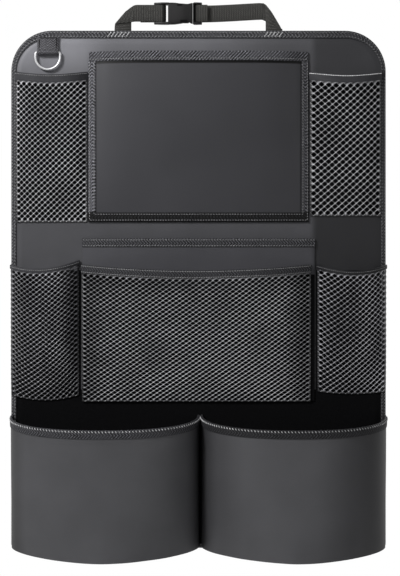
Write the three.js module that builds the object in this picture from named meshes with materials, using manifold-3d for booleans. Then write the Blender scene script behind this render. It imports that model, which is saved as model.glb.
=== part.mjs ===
// A hanging organizer for the back of a car seat: a stiffened, edge-bound panel with a tablet
// window, mesh side pockets, a document pocket, a mesh centre pocket and two deep bottom pockets.
// Millimetres. The panel's flat back lies in the plane y = 0, the front faces -Y, +Z is up, and
// the origin is the middle of the back. A depth is a distance in front of the back, so y = -depth.

import * as THREE from 'three';
import { mergeVertices } from 'three/addons/utils/BufferGeometryUtils.js';
import Module from 'manifold-3d';

const wasm = await Module();
wasm.setup();

// The panel: its cut size and its three plies
const PANEL_WIDTH = 420;
const PANEL_HEIGHT = 580;
const TOP_RADIUS = 46;
const BOTTOM_RADIUS = 5;
const LINING_THICKNESS = 0.8;
const FOAM_THICKNESS = 3.0;
const PRESSED_FOAM = 0.9;
const FACE_THICKNESS = 0.9;
const PLY_GAP = 0.15;
const PLY_RAMP = 6;

// The woven tapes that bind the edges
const TAPE_THICKNESS = 1.1;
const EDGE_TAPE_SIDE = 5.7;
const EDGE_TAPE_TOP = 8.5;
const RIM_TAPE_THICKNESS = 0.8;
const RIM_TAPE_WIDTH = 8.5;
const THIN_RIM_WIDTH = 4;
const TAPE_CLEARANCE = 0.2;
const SEAM_GAP = 0.3;
const SEAM_ALLOWANCE = 3;

// Sheet thicknesses
const FILM_THICKNESS = 0.5;
const POCKET_SHEET = 1.2;
const DOCUMENT_SHEET = 1.0;
const NET_THICKNESS = 1.4;

// The tablet pocket: frame size, how far it hangs below the panel's top, and its slack
const TABLET_WIDTH = 246.6;
const TABLET_HEIGHT = 190.4;
const TABLET_DROP = 24.3;
const TABLET_SIDE_TAPE = 8;
const TABLET_CROSS_TAPE = 10.6;
const TABLET_SLACK = 8.5;

// The upper mesh pockets, left and right of the tablet pocket
const UPPER_RIM_DROP = 47.5;
const UPPER_LEFT_HEIGHT = 167;
const UPPER_RIGHT_HEIGHT = 160.5;
const UPPER_SLACK = 15;
const UPPER_SAG = 5;

// The document pocket and the mesh pocket in front of it
const DOCUMENT_WIDTH = 259.5;
const DOCUMENT_RIM = 56;
const DOCUMENT_SLACK = 9;
const CENTRE_WIDTH = 255.5;
const CENTRE_SHIFT = -2.5;
const CENTRE_RIM = 27;
const CENTRE_HEIGHT = 152;
const CENTRE_SLACK = 28;
const CENTRE_SAG = 6.5;

// The middle mesh pockets, left and right of the centre one
const MIDDLE_SEAM = 3.6;
const MIDDLE_RIM = 27;
const MIDDLE_RISE = 5;
const MIDDLE_LEFT_HEIGHT = 150;
const MIDDLE_RIGHT_HEIGHT = 141;
const MIDDLE_SLACK = 24;
const MIDDLE_SAG = 7;

// The two bottom pockets
const LOWER_RIM_DROP = 431;
const LOWER_SPLIT_X = 2;
const LOWER_SLACK = 74;
const LOWER_SAG = 8;
const LOWER_FLOOR_SAG = 2;
const LOWER_HEM = 2;
const LOWER_RIM_EXPONENT = 2.3;
const LOWER_FLOOR_EXPONENT = 1.6;

// The accessory ring and its webbing tab
const RING_INSET = 41.6;
const TAB_WIDTH = 24;
const TAB_THICKNESS = 1.2;
const TAB_LENGTH = 13;
const RING_WIRE = 2.7;
const RING_SHOULDER = 5;
const RING_CLEARANCE = 0.4;

// The headrest strap and its buckle
const WEBBING_WIDTH = 19;
const WEBBING_THICKNESS = 1.4;
const WEBBING_FOLD = 0.9;
const STRAP_EDGE_X = 94.5;
const STRAP_RISE = 10.5;
const STRAP_TACK = 7;
const STRAP_LIFT = 3.4;
const TAIL_LEFT = 26;
const TAIL_RIGHT = 9;
const BUCKLE_HEIGHT = 24.6;
const BUCKLE_THICKNESS = 9;
const BUCKLE_X = -5.5;
const SOCKET_LENGTH = 44.5;
const SOCKET_BODY = 28.8;
const PLUG_FLANGE = 9.2;
const BUCKLE_BAR = 2.6;
const BUCKLE_BAR_END = 3.6;
const BUCKLE_SLOT = 4.3;
const PRONG_LENGTH = 20;
const PRONG_ROOM = 4;
const BUCKLE_SIDE_WALL = 3.8;
const BUCKLE_FACE_WALL = 1.8;

// The mesh cells, counted across and up each kind of net, and how much of a cell is open
const CENTRE_CELLS = [9, 5];
const UPPER_CELLS = [3, 6];
const MIDDLE_CELLS = [3, 5];
const OPEN_SHARE = 0.66;

const SHEET_STEPS = 8;
const SHEET_ROWS = 4;
const LOWER_STEPS = 16;

// Levels through the panel, worked out from its plies
const fieldFoam = LINING_THICKNESS + PLY_GAP;
const fieldFace = fieldFoam + FOAM_THICKNESS + PLY_GAP;
const panelFront = fieldFace + FACE_THICKNESS;
const edgeLining = TAPE_THICKNESS + PLY_GAP;
const edgeFoam = edgeLining + LINING_THICKNESS + PLY_GAP;
const edgeFace = edgeFoam + PRESSED_FOAM + PLY_GAP;
const edgeTapeInner = edgeFace + FACE_THICKNESS + PLY_GAP;
const edgeTapeFront = edgeTapeInner + TAPE_THICKNESS;
const panelTop = PANEL_HEIGHT / 2;
const panelBottom = -PANEL_HEIGHT / 2;
const sideSeam = PANEL_WIDTH / 2 - EDGE_TAPE_SIDE - SEAM_GAP;

const mix = THREE.MathUtils.lerp;
const clamp = THREE.MathUtils.clamp;

// Turns a list of triangles into a geometry whose faces point out of the body
function bodyFrom(points, triangles) {
  let sixVolumes = 0;
  for (const [a, b, c] of triangles) {
    sixVolumes += points[a].dot(new THREE.Vector3().crossVectors(points[b], points[c]));
  }
  const turned = sixVolumes < 0 ? triangles.map(([a, b, c]) => [a, c, b]) : triangles;
  const geometry = new THREE.BufferGeometry();
  geometry.setAttribute('position', new THREE.Float32BufferAttribute(points.flatMap((p) => p.toArray()), 3));
  geometry.setIndex(turned.flat());
  return geometry;
}

// The unit vector that stands off a surface towards the front
function normalAt(surface, u, v) {
  const step = 1e-4;
  const u0 = Math.max(0, u - step);
  const u1 = Math.min(1, u + step);
  const v0 = Math.max(0, v - step);
  const v1 = Math.min(1, v + step);
  const across = surface(u1, v).sub(surface(u0, v));
  const up = surface(u, v1).sub(surface(u, v0));
  return across.cross(up).normalize();
}

// Gives a sheet its thickness: front and back copies of the faces, and a wall along each free edge
function sheetBody(surface, { nodes, faces }, thickness) {
  const front = [];
  const back = [];
  for (const [u, v] of nodes) {
    const offset = normalAt(surface, u, v).multiplyScalar(thickness / 2);
    front.push(surface(u, v).add(offset));
    back.push(surface(u, v).sub(offset));
  }
  return thickBody(front, back, faces);
}

// Joins two matching layers of points into one body
function thickBody(front, back, faces) {
  const count = front.length;
  const triangles = [];
  const edges = new Map();
  for (const [a, b, c] of faces) {
    triangles.push([a, b, c], [c + count, b + count, a + count]);
    for (const [from, to] of [[a, b], [b, c], [c, a]]) {
      if (!edges.delete(`${to}_${from}`)) {
        edges.set(`${from}_${to}`, [from, to]);
      }
    }
  }
  for (const [from, to] of edges.values()) {
    triangles.push([to, from, from + count], [to, from + count, to + count]);
  }
  return bodyFrom([...front, ...back], triangles);
}

// A plain grid of quads over the given stations across and up
function gridPattern(across, up) {
  const nodes = up.flatMap((v) => across.map((u) => [u, v]));
  const faces = [];
  for (let j = 0; j < up.length - 1; j += 1) {
    for (let i = 0; i < across.length - 1; i += 1) {
      const a = j * across.length + i;
      const b = a + across.length;
      faces.push([a, a + 1, b + 1], [a, b + 1, b]);
    }
  }
  return { nodes, faces };
}

// A net of diamonds, each with an open middle, and a plain band from the height share "band" up
function netPattern([columns, rows], band) {
  const nodes = [];
  const faces = [];
  const known = new Map();
  const nodeAt = (i, j) => {
    const key = `${i}_${j}`;
    if (!known.has(key)) {
      known.set(key, nodes.length);
      nodes.push([i / (2 * columns), (band * j) / (2 * rows)]);
    }
    return known.get(key);
  };
  const steps = [[1, 0], [0, 1], [-1, 0], [0, -1]];
  const inside = (i, j) => i >= 0 && j >= 0 && i <= 2 * columns && j <= 2 * rows;
  for (let j = 0; j <= 2 * rows; j += 1) {
    for (let i = j % 2; i <= 2 * columns; i += 2) {
      const corners = steps.map(([di, dj]) => (inside(i + di, j + dj) ? nodeAt(i + di, j + dj) : -1));
      const whole = corners.every((corner) => corner >= 0);
      const middle = steps.map(([di, dj]) =>
        whole ? nodeAt(i + di * OPEN_SHARE, j + dj * OPEN_SHARE) : nodeAt(i, j));
      for (let k = 0; k < 4; k += 1) {
        const next = (k + 1) % 4;
        if (corners[k] >= 0 && corners[next] >= 0) {
          faces.push([corners[k], corners[next], middle[next]]);
          if (whole) {
            faces.push([corners[k], middle[next], middle[k]]);
          }
        }
      }
    }
  }
  const top = stations(2 * columns).map((u, i) => {
    nodes.push([u, 1]);
    return { low: nodeAt(i, 2 * rows), high: nodes.length - 1 };
  });
  for (let i = 0; i < 2 * columns; i += 1) {
    faces.push([top[i].low, top[i + 1].low, top[i + 1].high], [top[i].low, top[i + 1].high, top[i].high]);
  }
  return { nodes, faces };
}

// Evenly spaced shares from 0 to 1
function stations(count) {
  return Array.from({ length: count + 1 }, (_, i) => i / count);
}

// Evenly spaced shares up to the lower edge of a rim tape, and then the rim
function rowsUnderTape(height, tapeWidth) {
  const band = 1 - tapeWidth / height;
  return [...stations(SHEET_ROWS - 1).map((share) => share * band), 1];
}

// Joins section polygons that follow each other along a path, as a ring or with flat ends
function sweep(sections, closed) {
  const size = sections[0].length;
  const triangles = [];
  const last = closed ? sections.length : sections.length - 1;
  for (let s = 0; s < last; s += 1) {
    const here = s * size;
    const there = ((s + 1) % sections.length) * size;
    for (let k = 0; k < size; k += 1) {
      const next = (k + 1) % size;
      triangles.push([here + k, there + k, there + next], [here + k, there + next, here + next]);
    }
  }
  if (!closed) {
    triangles.push(...flatEnd(sections[0], 0, true));
    triangles.push(...flatEnd(sections.at(-1), (sections.length - 1) * size, false));
  }
  return bodyFrom(sections.flat(), triangles);
}

// The triangles that close one end of a swept body
function flatEnd(section, first, reversed) {
  const middle = section.reduce((sum, p) => sum.add(p), new THREE.Vector3()).divideScalar(section.length);
  const normal = new THREE.Vector3();
  section.forEach((p, k) => {
    const next = section[(k + 1) % section.length];
    normal.add(new THREE.Vector3().crossVectors(p.clone().sub(middle), next.clone().sub(middle)));
  });
  normal.normalize();
  const side = Math.abs(normal.x) > 0.9 ? new THREE.Vector3(0, 1, 0) : new THREE.Vector3(1, 0, 0);
  const across = side.addScaledVector(normal, -side.dot(normal)).normalize();
  const up = new THREE.Vector3().crossVectors(normal, across);
  const flat = section.map((p) => new THREE.Vector2(p.dot(across), p.dot(up)));
  const faces = THREE.ShapeUtils.triangulateShape(flat, []);
  return faces.map(([a, b, c]) => (reversed ? [first + a, first + b, first + c] : [first + c, first + b, first + a]));
}

// A tape folded over a sheet's rim; its section is given as [down the sheet, off the sheet]
function rimTape(surface, across, height, sheetThickness, width) {
  const grip = sheetThickness / 2 + TAPE_CLEARANCE;
  const outer = grip + RIM_TAPE_THICKNESS;
  const crest = -TAPE_CLEARANCE - RIM_TAPE_THICKNESS;
  const section = [
    [width, grip], [width, outer], [0, outer], [crest, outer / 2], [crest, -outer / 2],
    [0, -outer], [width, -outer], [width, -grip], [-TAPE_CLEARANCE, -grip], [-TAPE_CLEARANCE, grip],
  ];
  return sweep(across.map((u) => section.map(([down, off]) => {
    const v = 1 - Math.max(0, down) / height;
    const up = surface(u, 1).sub(surface(u, 0.999)).normalize();
    return surface(u, v)
      .addScaledVector(up, Math.max(0, -down))
      .addScaledVector(normalAt(surface, u, v), off);
  })), false);
}

// A pocket wall between two seams. Its depth is the root's plus the slack, spread by the two
// shares; its rim runs from one end height to the other and sags by a parabola between them.
function pocketSurface({ left, right, bottom, rimLeft, rimRight, sag, slack, root, across, upward }) {
  return (u, v) => {
    const away = 2 * u - 1;
    const rim = mix(rimLeft, rimRight, u) - sag * (1 - away * away);
    const depth = root(v) + slack * across(u) * upward(v);
    return new THREE.Vector3(mix(left, right, u), -depth, mix(bottom, rim, v));
  };
}

// Shares of the slack: none at the seams, all in the middle
const slackAcross = (u) => 1 - Math.abs(2 * u - 1) ** 3;
const slackUpward = (v) => (1 - (1 - v) ** 3) * (1 - 0.1 * v ** 4);
const filmAcross = (u) => 1 - (2 * u - 1) ** 6;
const filmUpward = (v) => Math.sin((clamp(v, 0, 1) * Math.PI) / 2);

// The root of a sheet lies close to what carries it at its bottom, and rises to leave room for
// its rim tape over what carries it there
function rootUnderTape(lowCarrier, rimCarrier, thickness, band) {
  const seam = lowCarrier + SEAM_GAP + thickness / 2;
  const lifted = rimCarrier + SEAM_GAP + thickness / 2 + TAPE_CLEARANCE + RIM_TAPE_THICKNESS;
  return (v) => mix(seam, lifted, clamp(v / band, 0, 1));
}

// The panel's outline, moved in from its edges, counter-clockwise from the top right corner
function panelLoop(sideInset, topInset) {
  const right = PANEL_WIDTH / 2 - sideInset;
  const top = panelTop - topInset;
  const bottom = panelBottom + sideInset;
  const smallest = 1;
  const corner = (x, z, radiusX, radiusZ, start, steps) =>
    stations(steps).map((share) => {
      const angle = start + (share * Math.PI) / 2;
      return [x + radiusX * Math.cos(angle), z + radiusZ * Math.sin(angle)];
    });
  const topX = Math.max(smallest, TOP_RADIUS - sideInset);
  const topZ = Math.max(smallest, TOP_RADIUS - topInset);
  const low = Math.max(smallest, BOTTOM_RADIUS - sideInset);
  return [
    ...corner(right - topX, top - topZ, topX, topZ, 0, 8),
    ...corner(-right + topX, top - topZ, topX, topZ, Math.PI / 2, 8),
    ...corner(-right + low, bottom + low, low, low, Math.PI, 3),
    ...corner(right - low, bottom + low, low, low, Math.PI * 1.5, 3),
  ];
}

// One ply of the panel: thin where the edge tape grips it, then a ramp, then its full thickness
function panelPly(edgeBack, edgeThickness, fieldBack, fieldThickness) {
  const inset = TAPE_THICKNESS + PLY_GAP;
  const grip = SEAM_GAP * 2;
  const rings = [
    [inset, inset, edgeBack, edgeBack + edgeThickness],
    [EDGE_TAPE_SIDE + grip, EDGE_TAPE_TOP + grip, edgeBack, edgeBack + edgeThickness],
    [EDGE_TAPE_SIDE + grip + PLY_RAMP, EDGE_TAPE_TOP + grip + PLY_RAMP, fieldBack, fieldBack + fieldThickness],
  ];
  const front = [];
  const back = [];
  for (const [side, top, nearBack, nearFront] of rings) {
    const loop = panelLoop(side, top);
    front.push(...loop.map(([x, z]) => new THREE.Vector3(x, -nearFront, z)));
    back.push(...loop.map(([x, z]) => new THREE.Vector3(x, -nearBack, z)));
  }
  const size = panelLoop(0, 0).length;
  const faces = [];
  for (let ring = 0; ring < rings.length - 1; ring += 1) {
    for (let k = 0; k < size; k += 1) {
      const next = (k + 1) % size;
      const outer = ring * size;
      const inner = outer + size;
      faces.push([outer + k, outer + next, inner + next], [outer + k, inner + next, inner + k]);
    }
  }
  const cap = (rings.length - 1) * size;
  for (let k = 1; k < size - 1; k += 1) {
    faces.push([cap, cap + k, cap + k + 1]);
  }
  return thickBody(front, back, faces);
}

// The tape folded over the panel's whole edge, with a rounded fold
function edgeBinding() {
  const soft = 1.6;
  const side = EDGE_TAPE_SIDE;
  const top = EDGE_TAPE_TOP;
  const wall = TAPE_THICKNESS;
  const section = [
    [side, top, 0], [soft, soft, 0], [soft / 3, soft / 3, soft / 3], [0, 0, soft],
    [0, 0, edgeTapeFront - soft], [soft / 3, soft / 3, edgeTapeFront - soft / 3],
    [soft, soft, edgeTapeFront], [side, top, edgeTapeFront], [side, top, edgeTapeInner],
    [wall, wall, edgeTapeInner], [wall, wall, wall], [side, top, wall],
  ];
  const loops = section.map(([sideInset, topInset, depth]) =>
    panelLoop(sideInset, topInset).map(([x, z]) => new THREE.Vector3(x, -depth, z)));
  return sweep(loops[0].map((_, k) => loops.map((loop) => loop[k])), true);
}

// The tablet pocket: a film gripped by folded tapes
const tabletTop = panelTop - TABLET_DROP;
const tabletBottom = tabletTop - TABLET_HEIGHT;
const filmOuter = FILM_THICKNESS / 2 + TAPE_CLEARANCE + RIM_TAPE_THICKNESS;
const filmRoot = panelFront + SEAM_GAP + filmOuter;
const filmInset = RIM_TAPE_THICKNESS + TAPE_CLEARANCE;
const filmTop = tabletTop - filmInset;
const filmBottom = tabletBottom + filmInset;
const filmHeight = filmTop - filmBottom;
const filmWidth = TABLET_WIDTH - 2 * filmInset;
const filmHeld = TABLET_SIDE_TAPE / TABLET_WIDTH;
const filmGrip = TABLET_CROSS_TAPE - filmInset;
const filmSurface = pocketSurface({
  left: -filmWidth / 2,
  right: filmWidth / 2,
  bottom: filmBottom,
  rimLeft: filmTop,
  rimRight: filmTop,
  sag: 0,
  slack: TABLET_SLACK,
  root: () => filmRoot,
  across: (u) => filmAcross(clamp((u - filmHeld) / (1 - 2 * filmHeld), 0, 1)),
  upward: (v) => filmUpward((v - filmGrip / filmHeight) / (1 - filmGrip / filmHeight)),
});
const filmStations = [0, ...stations(SHEET_STEPS).map((u) => mix(filmHeld, 1 - filmHeld, u)), 1];
const filmRows = [0, ...stations(SHEET_ROWS - 1).map((v) =>
  mix(filmGrip / filmHeight, 1 - filmGrip / filmHeight, v)), 1];

// The tape around the film's left, bottom and right edges, mitred at its two corners
function tabletFrameBinding() {
  const rear = filmRoot - filmOuter;
  const front = filmRoot + filmOuter;
  const wall = RIM_TAPE_THICKNESS;
  const section = [
    [1, rear], [0, rear], [0, front], [1, front],
    [1, front - wall], ['wall', front - wall], ['wall', rear + wall], [1, rear + wall],
  ];
  const inset = (share, width) => (share === 'wall' ? wall : share * width);
  const open = tabletTop - TABLET_CROSS_TAPE - SEAM_GAP;
  const corners = [[-1, open], [-1, null], [1, null], [1, open]];
  return sweep(corners.map(([side, height]) => section.map(([share, depth]) => new THREE.Vector3(
    side * (TABLET_WIDTH / 2 - inset(share, TABLET_SIDE_TAPE)),
    -depth,
    height ?? tabletBottom + inset(share, TABLET_CROSS_TAPE),
  ))), false);
}

// A mesh pocket: its net and the tape over the net's rim
function netPocket({ left, right, rimLeft, rimRight, height, slack, sag, tape, lowCarrier, rimCarrier, cells }) {
  const band = 1 - tape / height;
  const rise = Math.max(rimLeft, rimRight);
  const surface = pocketSurface({
    left,
    right,
    rimLeft,
    rimRight,
    sag,
    slack,
    bottom: rise - height,
    root: rootUnderTape(lowCarrier, rimCarrier, NET_THICKNESS, band),
    across: slackAcross,
    upward: slackUpward,
  });
  return {
    net: sheetBody(surface, netPattern(cells, band), NET_THICKNESS),
    rim: rimTape(surface, stations(2 * cells[0]), height, NET_THICKNESS, tape),
  };
}

// The mesh pockets beside the tablet pocket
const upperRim = panelTop - UPPER_RIM_DROP;
const upperInner = TABLET_WIDTH / 2 + SEAM_GAP * 5;
const upperCommon = {
  rimLeft: upperRim,
  rimRight: upperRim,
  slack: UPPER_SLACK,
  sag: UPPER_SAG,
  tape: RIM_TAPE_WIDTH,
  lowCarrier: panelFront,
  rimCarrier: panelFront,
  cells: UPPER_CELLS,
};
const upperLeft = netPocket({
  ...upperCommon, left: -sideSeam, right: -upperInner, height: UPPER_LEFT_HEIGHT,
});
const upperRight = netPocket({
  ...upperCommon, left: upperInner, right: sideSeam, height: UPPER_RIGHT_HEIGHT,
});

// The document pocket, a flat sheet sewn along its sides and its bottom
const centreBottom = CENTRE_RIM - CENTRE_HEIGHT;
const documentHeight = DOCUMENT_RIM - centreBottom;
const documentBand = 1 - RIM_TAPE_WIDTH / documentHeight;
const documentSurface = pocketSurface({
  left: -DOCUMENT_WIDTH / 2,
  right: DOCUMENT_WIDTH / 2,
  bottom: centreBottom,
  rimLeft: DOCUMENT_RIM,
  rimRight: DOCUMENT_RIM,
  sag: 0,
  slack: DOCUMENT_SLACK,
  root: rootUnderTape(panelFront, panelFront, DOCUMENT_SHEET, documentBand),
  across: slackAcross,
  upward: (v) => v,
});
const documentRows = rowsUnderTape(documentHeight, RIM_TAPE_WIDTH);

// How deep the document pocket's front stands at a place on the panel
function documentFront(x, z) {
  const u = clamp(0.5 + x / DOCUMENT_WIDTH, 0, 1);
  const v = (z - centreBottom) / documentHeight;
  return DOCUMENT_SHEET / 2 - documentSurface(u, v).y;
}

// The mesh pocket in front of the document pocket, sewn on through it
const centreLeft = CENTRE_SHIFT - CENTRE_WIDTH / 2;
const centreRight = CENTRE_SHIFT + CENTRE_WIDTH / 2;
const centreCarrier = Math.max(
  documentFront(centreLeft + SEAM_ALLOWANCE, CENTRE_RIM),
  documentFront(centreRight - SEAM_ALLOWANCE, CENTRE_RIM),
);
const centre = netPocket({
  left: centreLeft,
  right: centreRight,
  rimLeft: CENTRE_RIM,
  rimRight: CENTRE_RIM,
  height: CENTRE_HEIGHT,
  slack: CENTRE_SLACK,
  sag: CENTRE_SAG,
  tape: RIM_TAPE_WIDTH,
  lowCarrier: panelFront + SEAM_GAP + DOCUMENT_SHEET,
  rimCarrier: centreCarrier,
  cells: CENTRE_CELLS,
});

// The middle mesh pockets, which rise a little towards the middle of the panel on the left
const middleCommon = {
  slack: MIDDLE_SLACK,
  sag: MIDDLE_SAG,
  tape: THIN_RIM_WIDTH,
  lowCarrier: panelFront,
  rimCarrier: panelFront,
  cells: MIDDLE_CELLS,
};
const middleLeft = netPocket({
  ...middleCommon,
  left: -sideSeam,
  right: Math.min(centreLeft, -DOCUMENT_WIDTH / 2) - MIDDLE_SEAM,
  rimLeft: MIDDLE_RIM,
  rimRight: MIDDLE_RIM + MIDDLE_RISE,
  height: MIDDLE_LEFT_HEIGHT,
});
const middleRight = netPocket({
  ...middleCommon,
  left: Math.max(centreRight, DOCUMENT_WIDTH / 2) + MIDDLE_SEAM,
  right: sideSeam,
  rimLeft: MIDDLE_RIM,
  rimRight: MIDDLE_RIM,
  height: MIDDLE_RIGHT_HEIGHT,
});

// The bottom pockets. Across, the wall is half a superellipse that leaves the panel squarely:
// x = half width * |cos|^(2/n) and depth = slack * sin^(2/n), with the angle from 0 to pi. The
// exponent n rises from the floor, where the corners are pulled in, to the fuller rim.
const lowerTapeOuter = POCKET_SHEET / 2 + TAPE_CLEARANCE + RIM_TAPE_THICKNESS;
const lowerSplit = 2 * lowerTapeOuter + SEAM_GAP;
// Both pockets are sewn on over the edge tape, and their rim tapes end flush with the panel's sides
const lowerSide = PANEL_WIDTH / 2 - lowerTapeOuter;
const lowerHalf = (side) => (lowerSide - lowerSplit / 2 - side * LOWER_SPLIT_X) / 2;
const lowerMiddle = (side) => side * (lowerSide - lowerHalf(side));
const lowerRoot = edgeTapeFront + SEAM_GAP;
const lowerRim = panelTop - LOWER_RIM_DROP;
const lowerBottom = panelBottom + LOWER_HEM;
const lowerHeight = lowerRim - lowerBottom;

function lowerSection(u, v, half, slack) {
  const angle = u * Math.PI;
  const power = 2 / mix(LOWER_FLOOR_EXPONENT, LOWER_RIM_EXPONENT, Math.sin((v * Math.PI) / 2));
  const cosine = Math.cos(angle);
  return {
    x: -half * Math.sign(cosine) * Math.abs(cosine) ** power,
    depth: slack * Math.max(0, Math.sin(angle)) ** power,
  };
}

function lowerWallSurface(side) {
  return (u, v) => {
    const { x, depth } = lowerSection(u, v, lowerHalf(side), LOWER_SLACK);
    const fullness = depth / LOWER_SLACK;
    const rim = lowerRim - LOWER_SAG * fullness;
    const bottom = lowerBottom - LOWER_FLOOR_SAG * fullness;
    return new THREE.Vector3(lowerMiddle(side) + x, -lowerRoot - depth, mix(bottom, rim, v));
  };
}

// The floor closes the wall's lower edge and hangs with it, just inside the wall
function lowerFloorSurface(side) {
  const inset = POCKET_SHEET + SEAM_GAP;
  return (u, v) => {
    const { x, depth } = lowerSection(u, 0, lowerHalf(side) - inset, LOWER_SLACK - inset);
    const reach = depth * v;
    const fall = LOWER_FLOOR_SAG * (reach / LOWER_SLACK);
    return new THREE.Vector3(lowerMiddle(side) + x, -lowerRoot - reach, lowerBottom + POCKET_SHEET - fall);
  };
}

const lowerStations = stations(LOWER_STEPS);
const lowerWallRows = rowsUnderTape(lowerHeight, RIM_TAPE_WIDTH);

// The ring's tab: webbing folded around the ring's straight bar and stitched to the panel
const barHole = RING_WIRE / 2 + RING_CLEARANCE;
const tabLoop = barHole + TAB_THICKNESS;
const barDepth = panelFront + SEAM_GAP + tabLoop;
const ringTabX = -(PANEL_WIDTH / 2 - RING_INSET);
const tabTop = edgeTapeLowerAt(ringTabX - TAB_WIDTH / 2) - 2 * SEAM_GAP;
const barZ = tabTop - TAB_LENGTH;

// The height of the edge tape's lower border at a place near the left top corner
function edgeTapeLowerAt(x) {
  const radiusX = TOP_RADIUS - EDGE_TAPE_SIDE;
  const radiusZ = TOP_RADIUS - EDGE_TAPE_TOP;
  const share = clamp((PANEL_WIDTH / 2 - TOP_RADIUS + x) / radiusX, -1, 0);
  return panelTop - TOP_RADIUS + radiusZ * Math.sqrt(1 - share * share);
}

function ringTab() {
  const outline = new THREE.Shape();
  const flat = panelFront + SEAM_GAP;
  const shoulder = Math.asin((barDepth - flat - 2 * TAB_THICKNESS) / tabLoop);
  outline.moveTo(flat, tabTop);
  outline.lineTo(flat, barZ);
  outline.absarc(barDepth, barZ, tabLoop, Math.PI, Math.PI * 2.5 + shoulder, false);
  outline.lineTo(flat + 2 * TAB_THICKNESS, tabTop);
  const hole = new THREE.Path();
  hole.absarc(barDepth, barZ, barHole, 0, Math.PI * 2, true);
  outline.holes.push(hole);
  const geometry = new THREE.ExtrudeGeometry(outline, { depth: TAB_WIDTH, bevelEnabled: false, curveSegments: 7 });
  // The outline was drawn as (depth, height), so it turns into y = -depth and z = height
  const turn = new THREE.Matrix4().makeBasis(
    new THREE.Vector3(0, -1, 0), new THREE.Vector3(0, 0, 1), new THREE.Vector3(-1, 0, 0));
  turn.setPosition(ringTabX + TAB_WIDTH / 2, 0, 0);
  return geometry.applyMatrix4(turn);
}

// The ring: a straight bar, two short shoulders and a half round bow, as one bent wire
function accessoryRing() {
  const half = TAB_WIDTH / 2 + RING_CLEARANCE + RING_WIRE / 2;
  const turn = half - TAB_WIDTH / 2;
  const at = (x, z) => new THREE.Vector3(ringTabX + x, -barDepth, barZ + z);
  const arc = (x, z, radius, start, end, count) =>
    stations(count).map((share) => {
      const angle = mix(start, end, share);
      return at(x + radius * Math.cos(angle), z + radius * Math.sin(angle));
    });
  const points = [
    ...arc(half - turn, -turn, turn, Math.PI / 2, 0, 3),
    ...arc(0, -RING_SHOULDER, half, 0, -Math.PI, 14),
    ...arc(-half + turn, -turn, turn, Math.PI, Math.PI / 2, 3),
  ];
  const sides = 8;
  return sweep(points.map((point, k) => {
    const before = points.at(k - 1);
    const after = points[(k + 1) % points.length];
    const along = after.clone().sub(before).normalize();
    const outward = new THREE.Vector3(0, 1, 0).cross(along);
    return stations(sides).slice(0, sides).map((share) => {
      const angle = share * 2 * Math.PI;
      return point.clone()
        .addScaledVector(outward, (RING_WIRE / 2) * Math.cos(angle))
        .add(new THREE.Vector3(0, (RING_WIRE / 2) * Math.sin(angle), 0));
    });
  }), true);
}

// The strap's two bands run level with the middle of the buckle
const strapY = SEAM_GAP + WEBBING_THICKNESS / 2;
const bandBottom = panelTop + STRAP_RISE;
const buckleZ = bandBottom + WEBBING_WIDTH / 2;
const wrap = BUCKLE_BAR / 2 + SEAM_GAP + WEBBING_THICKNESS / 2;
const buckleY = strapY - 2 * WEBBING_FOLD + wrap;
const creaseLength = (Math.PI * WEBBING_FOLD) / Math.SQRT2;

// A strap half: tacked behind the panel's top, folded over on a slanting crease into a level band,
// then round a bar of the buckle and back. It is worked out for the left side, as x away from the
// middle; "side" mirrors it, and "face" is -1 where the crease folds to the front.
function strapBody(side, face, creaseZ, turnAt, tail, tilt) {
  const creasePoint = (x, z) => {
    const along = x + (z - creaseZ);
    const past = (z - creaseZ - x) / Math.SQRT2;
    const foot = new THREE.Vector3(along / 2, strapY, creaseZ + along / 2);
    const away = new THREE.Vector3(-Math.SQRT1_2, 0, Math.SQRT1_2);
    const angle = clamp(past / WEBBING_FOLD, 0, Math.PI);
    const beyond = Math.max(0, past - Math.PI * WEBBING_FOLD);
    return foot
      .addScaledVector(away, Math.min(0, past) + WEBBING_FOLD * Math.sin(angle) - beyond)
      .add(new THREE.Vector3(0, face * WEBBING_FOLD * (1 - Math.cos(angle)), 0));
  };
  const barPoint = (travel, across) => {
    const foldY = strapY + face * 2 * WEBBING_FOLD;
    const layerY = buckleY + face * wrap;
    const angle = clamp((travel - turnAt) / wrap, 0, Math.PI);
    const beyond = Math.max(0, travel - turnAt - Math.PI * wrap);
    const blend = THREE.MathUtils.smoothstep(travel, WEBBING_WIDTH, turnAt * 0.7);
    const x = Math.min(travel, turnAt) + wrap * Math.sin(angle) - beyond;
    const y = mix(foldY, layerY, blend) - face * wrap * (1 - Math.cos(angle));
    const z = creaseZ + creaseLength + across - tilt * THREE.MathUtils.smoothstep(x, 0, turnAt);
    return new THREE.Vector3(x, y, z);
  };
  const rows = [];
  const flatRow = (z) => rows.push([creasePoint(0, z), creasePoint(WEBBING_WIDTH, z)]);
  flatRow(panelTop - STRAP_TACK);
  flatRow(creaseZ - 1);
  for (const share of stations(4)) {
    const past = share * Math.PI * WEBBING_FOLD * Math.SQRT2;
    rows.push([creasePoint(0, creaseZ + past), creasePoint(WEBBING_WIDTH, creaseZ + past + WEBBING_WIDTH)]);
  }
  const bandRow = (travel) => rows.push([barPoint(travel, 0), barPoint(travel, WEBBING_WIDTH)]);
  const bandStart = WEBBING_WIDTH + 2 * creaseLength;
  for (const share of stations(4)) {
    bandRow(mix(bandStart, turnAt, share));
  }
  for (const share of stations(6).slice(1)) {
    bandRow(turnAt + share * Math.PI * wrap);
  }
  bandRow(turnAt + Math.PI * wrap + tail / 2);
  bandRow(turnAt + Math.PI * wrap + tail);
  const place = (p) => new THREE.Vector3(side * (STRAP_EDGE_X - p.x), p.y, p.z);
  return ribbonBody(rows.map((row) => row.map(place)), WEBBING_THICKNESS);
}

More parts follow.
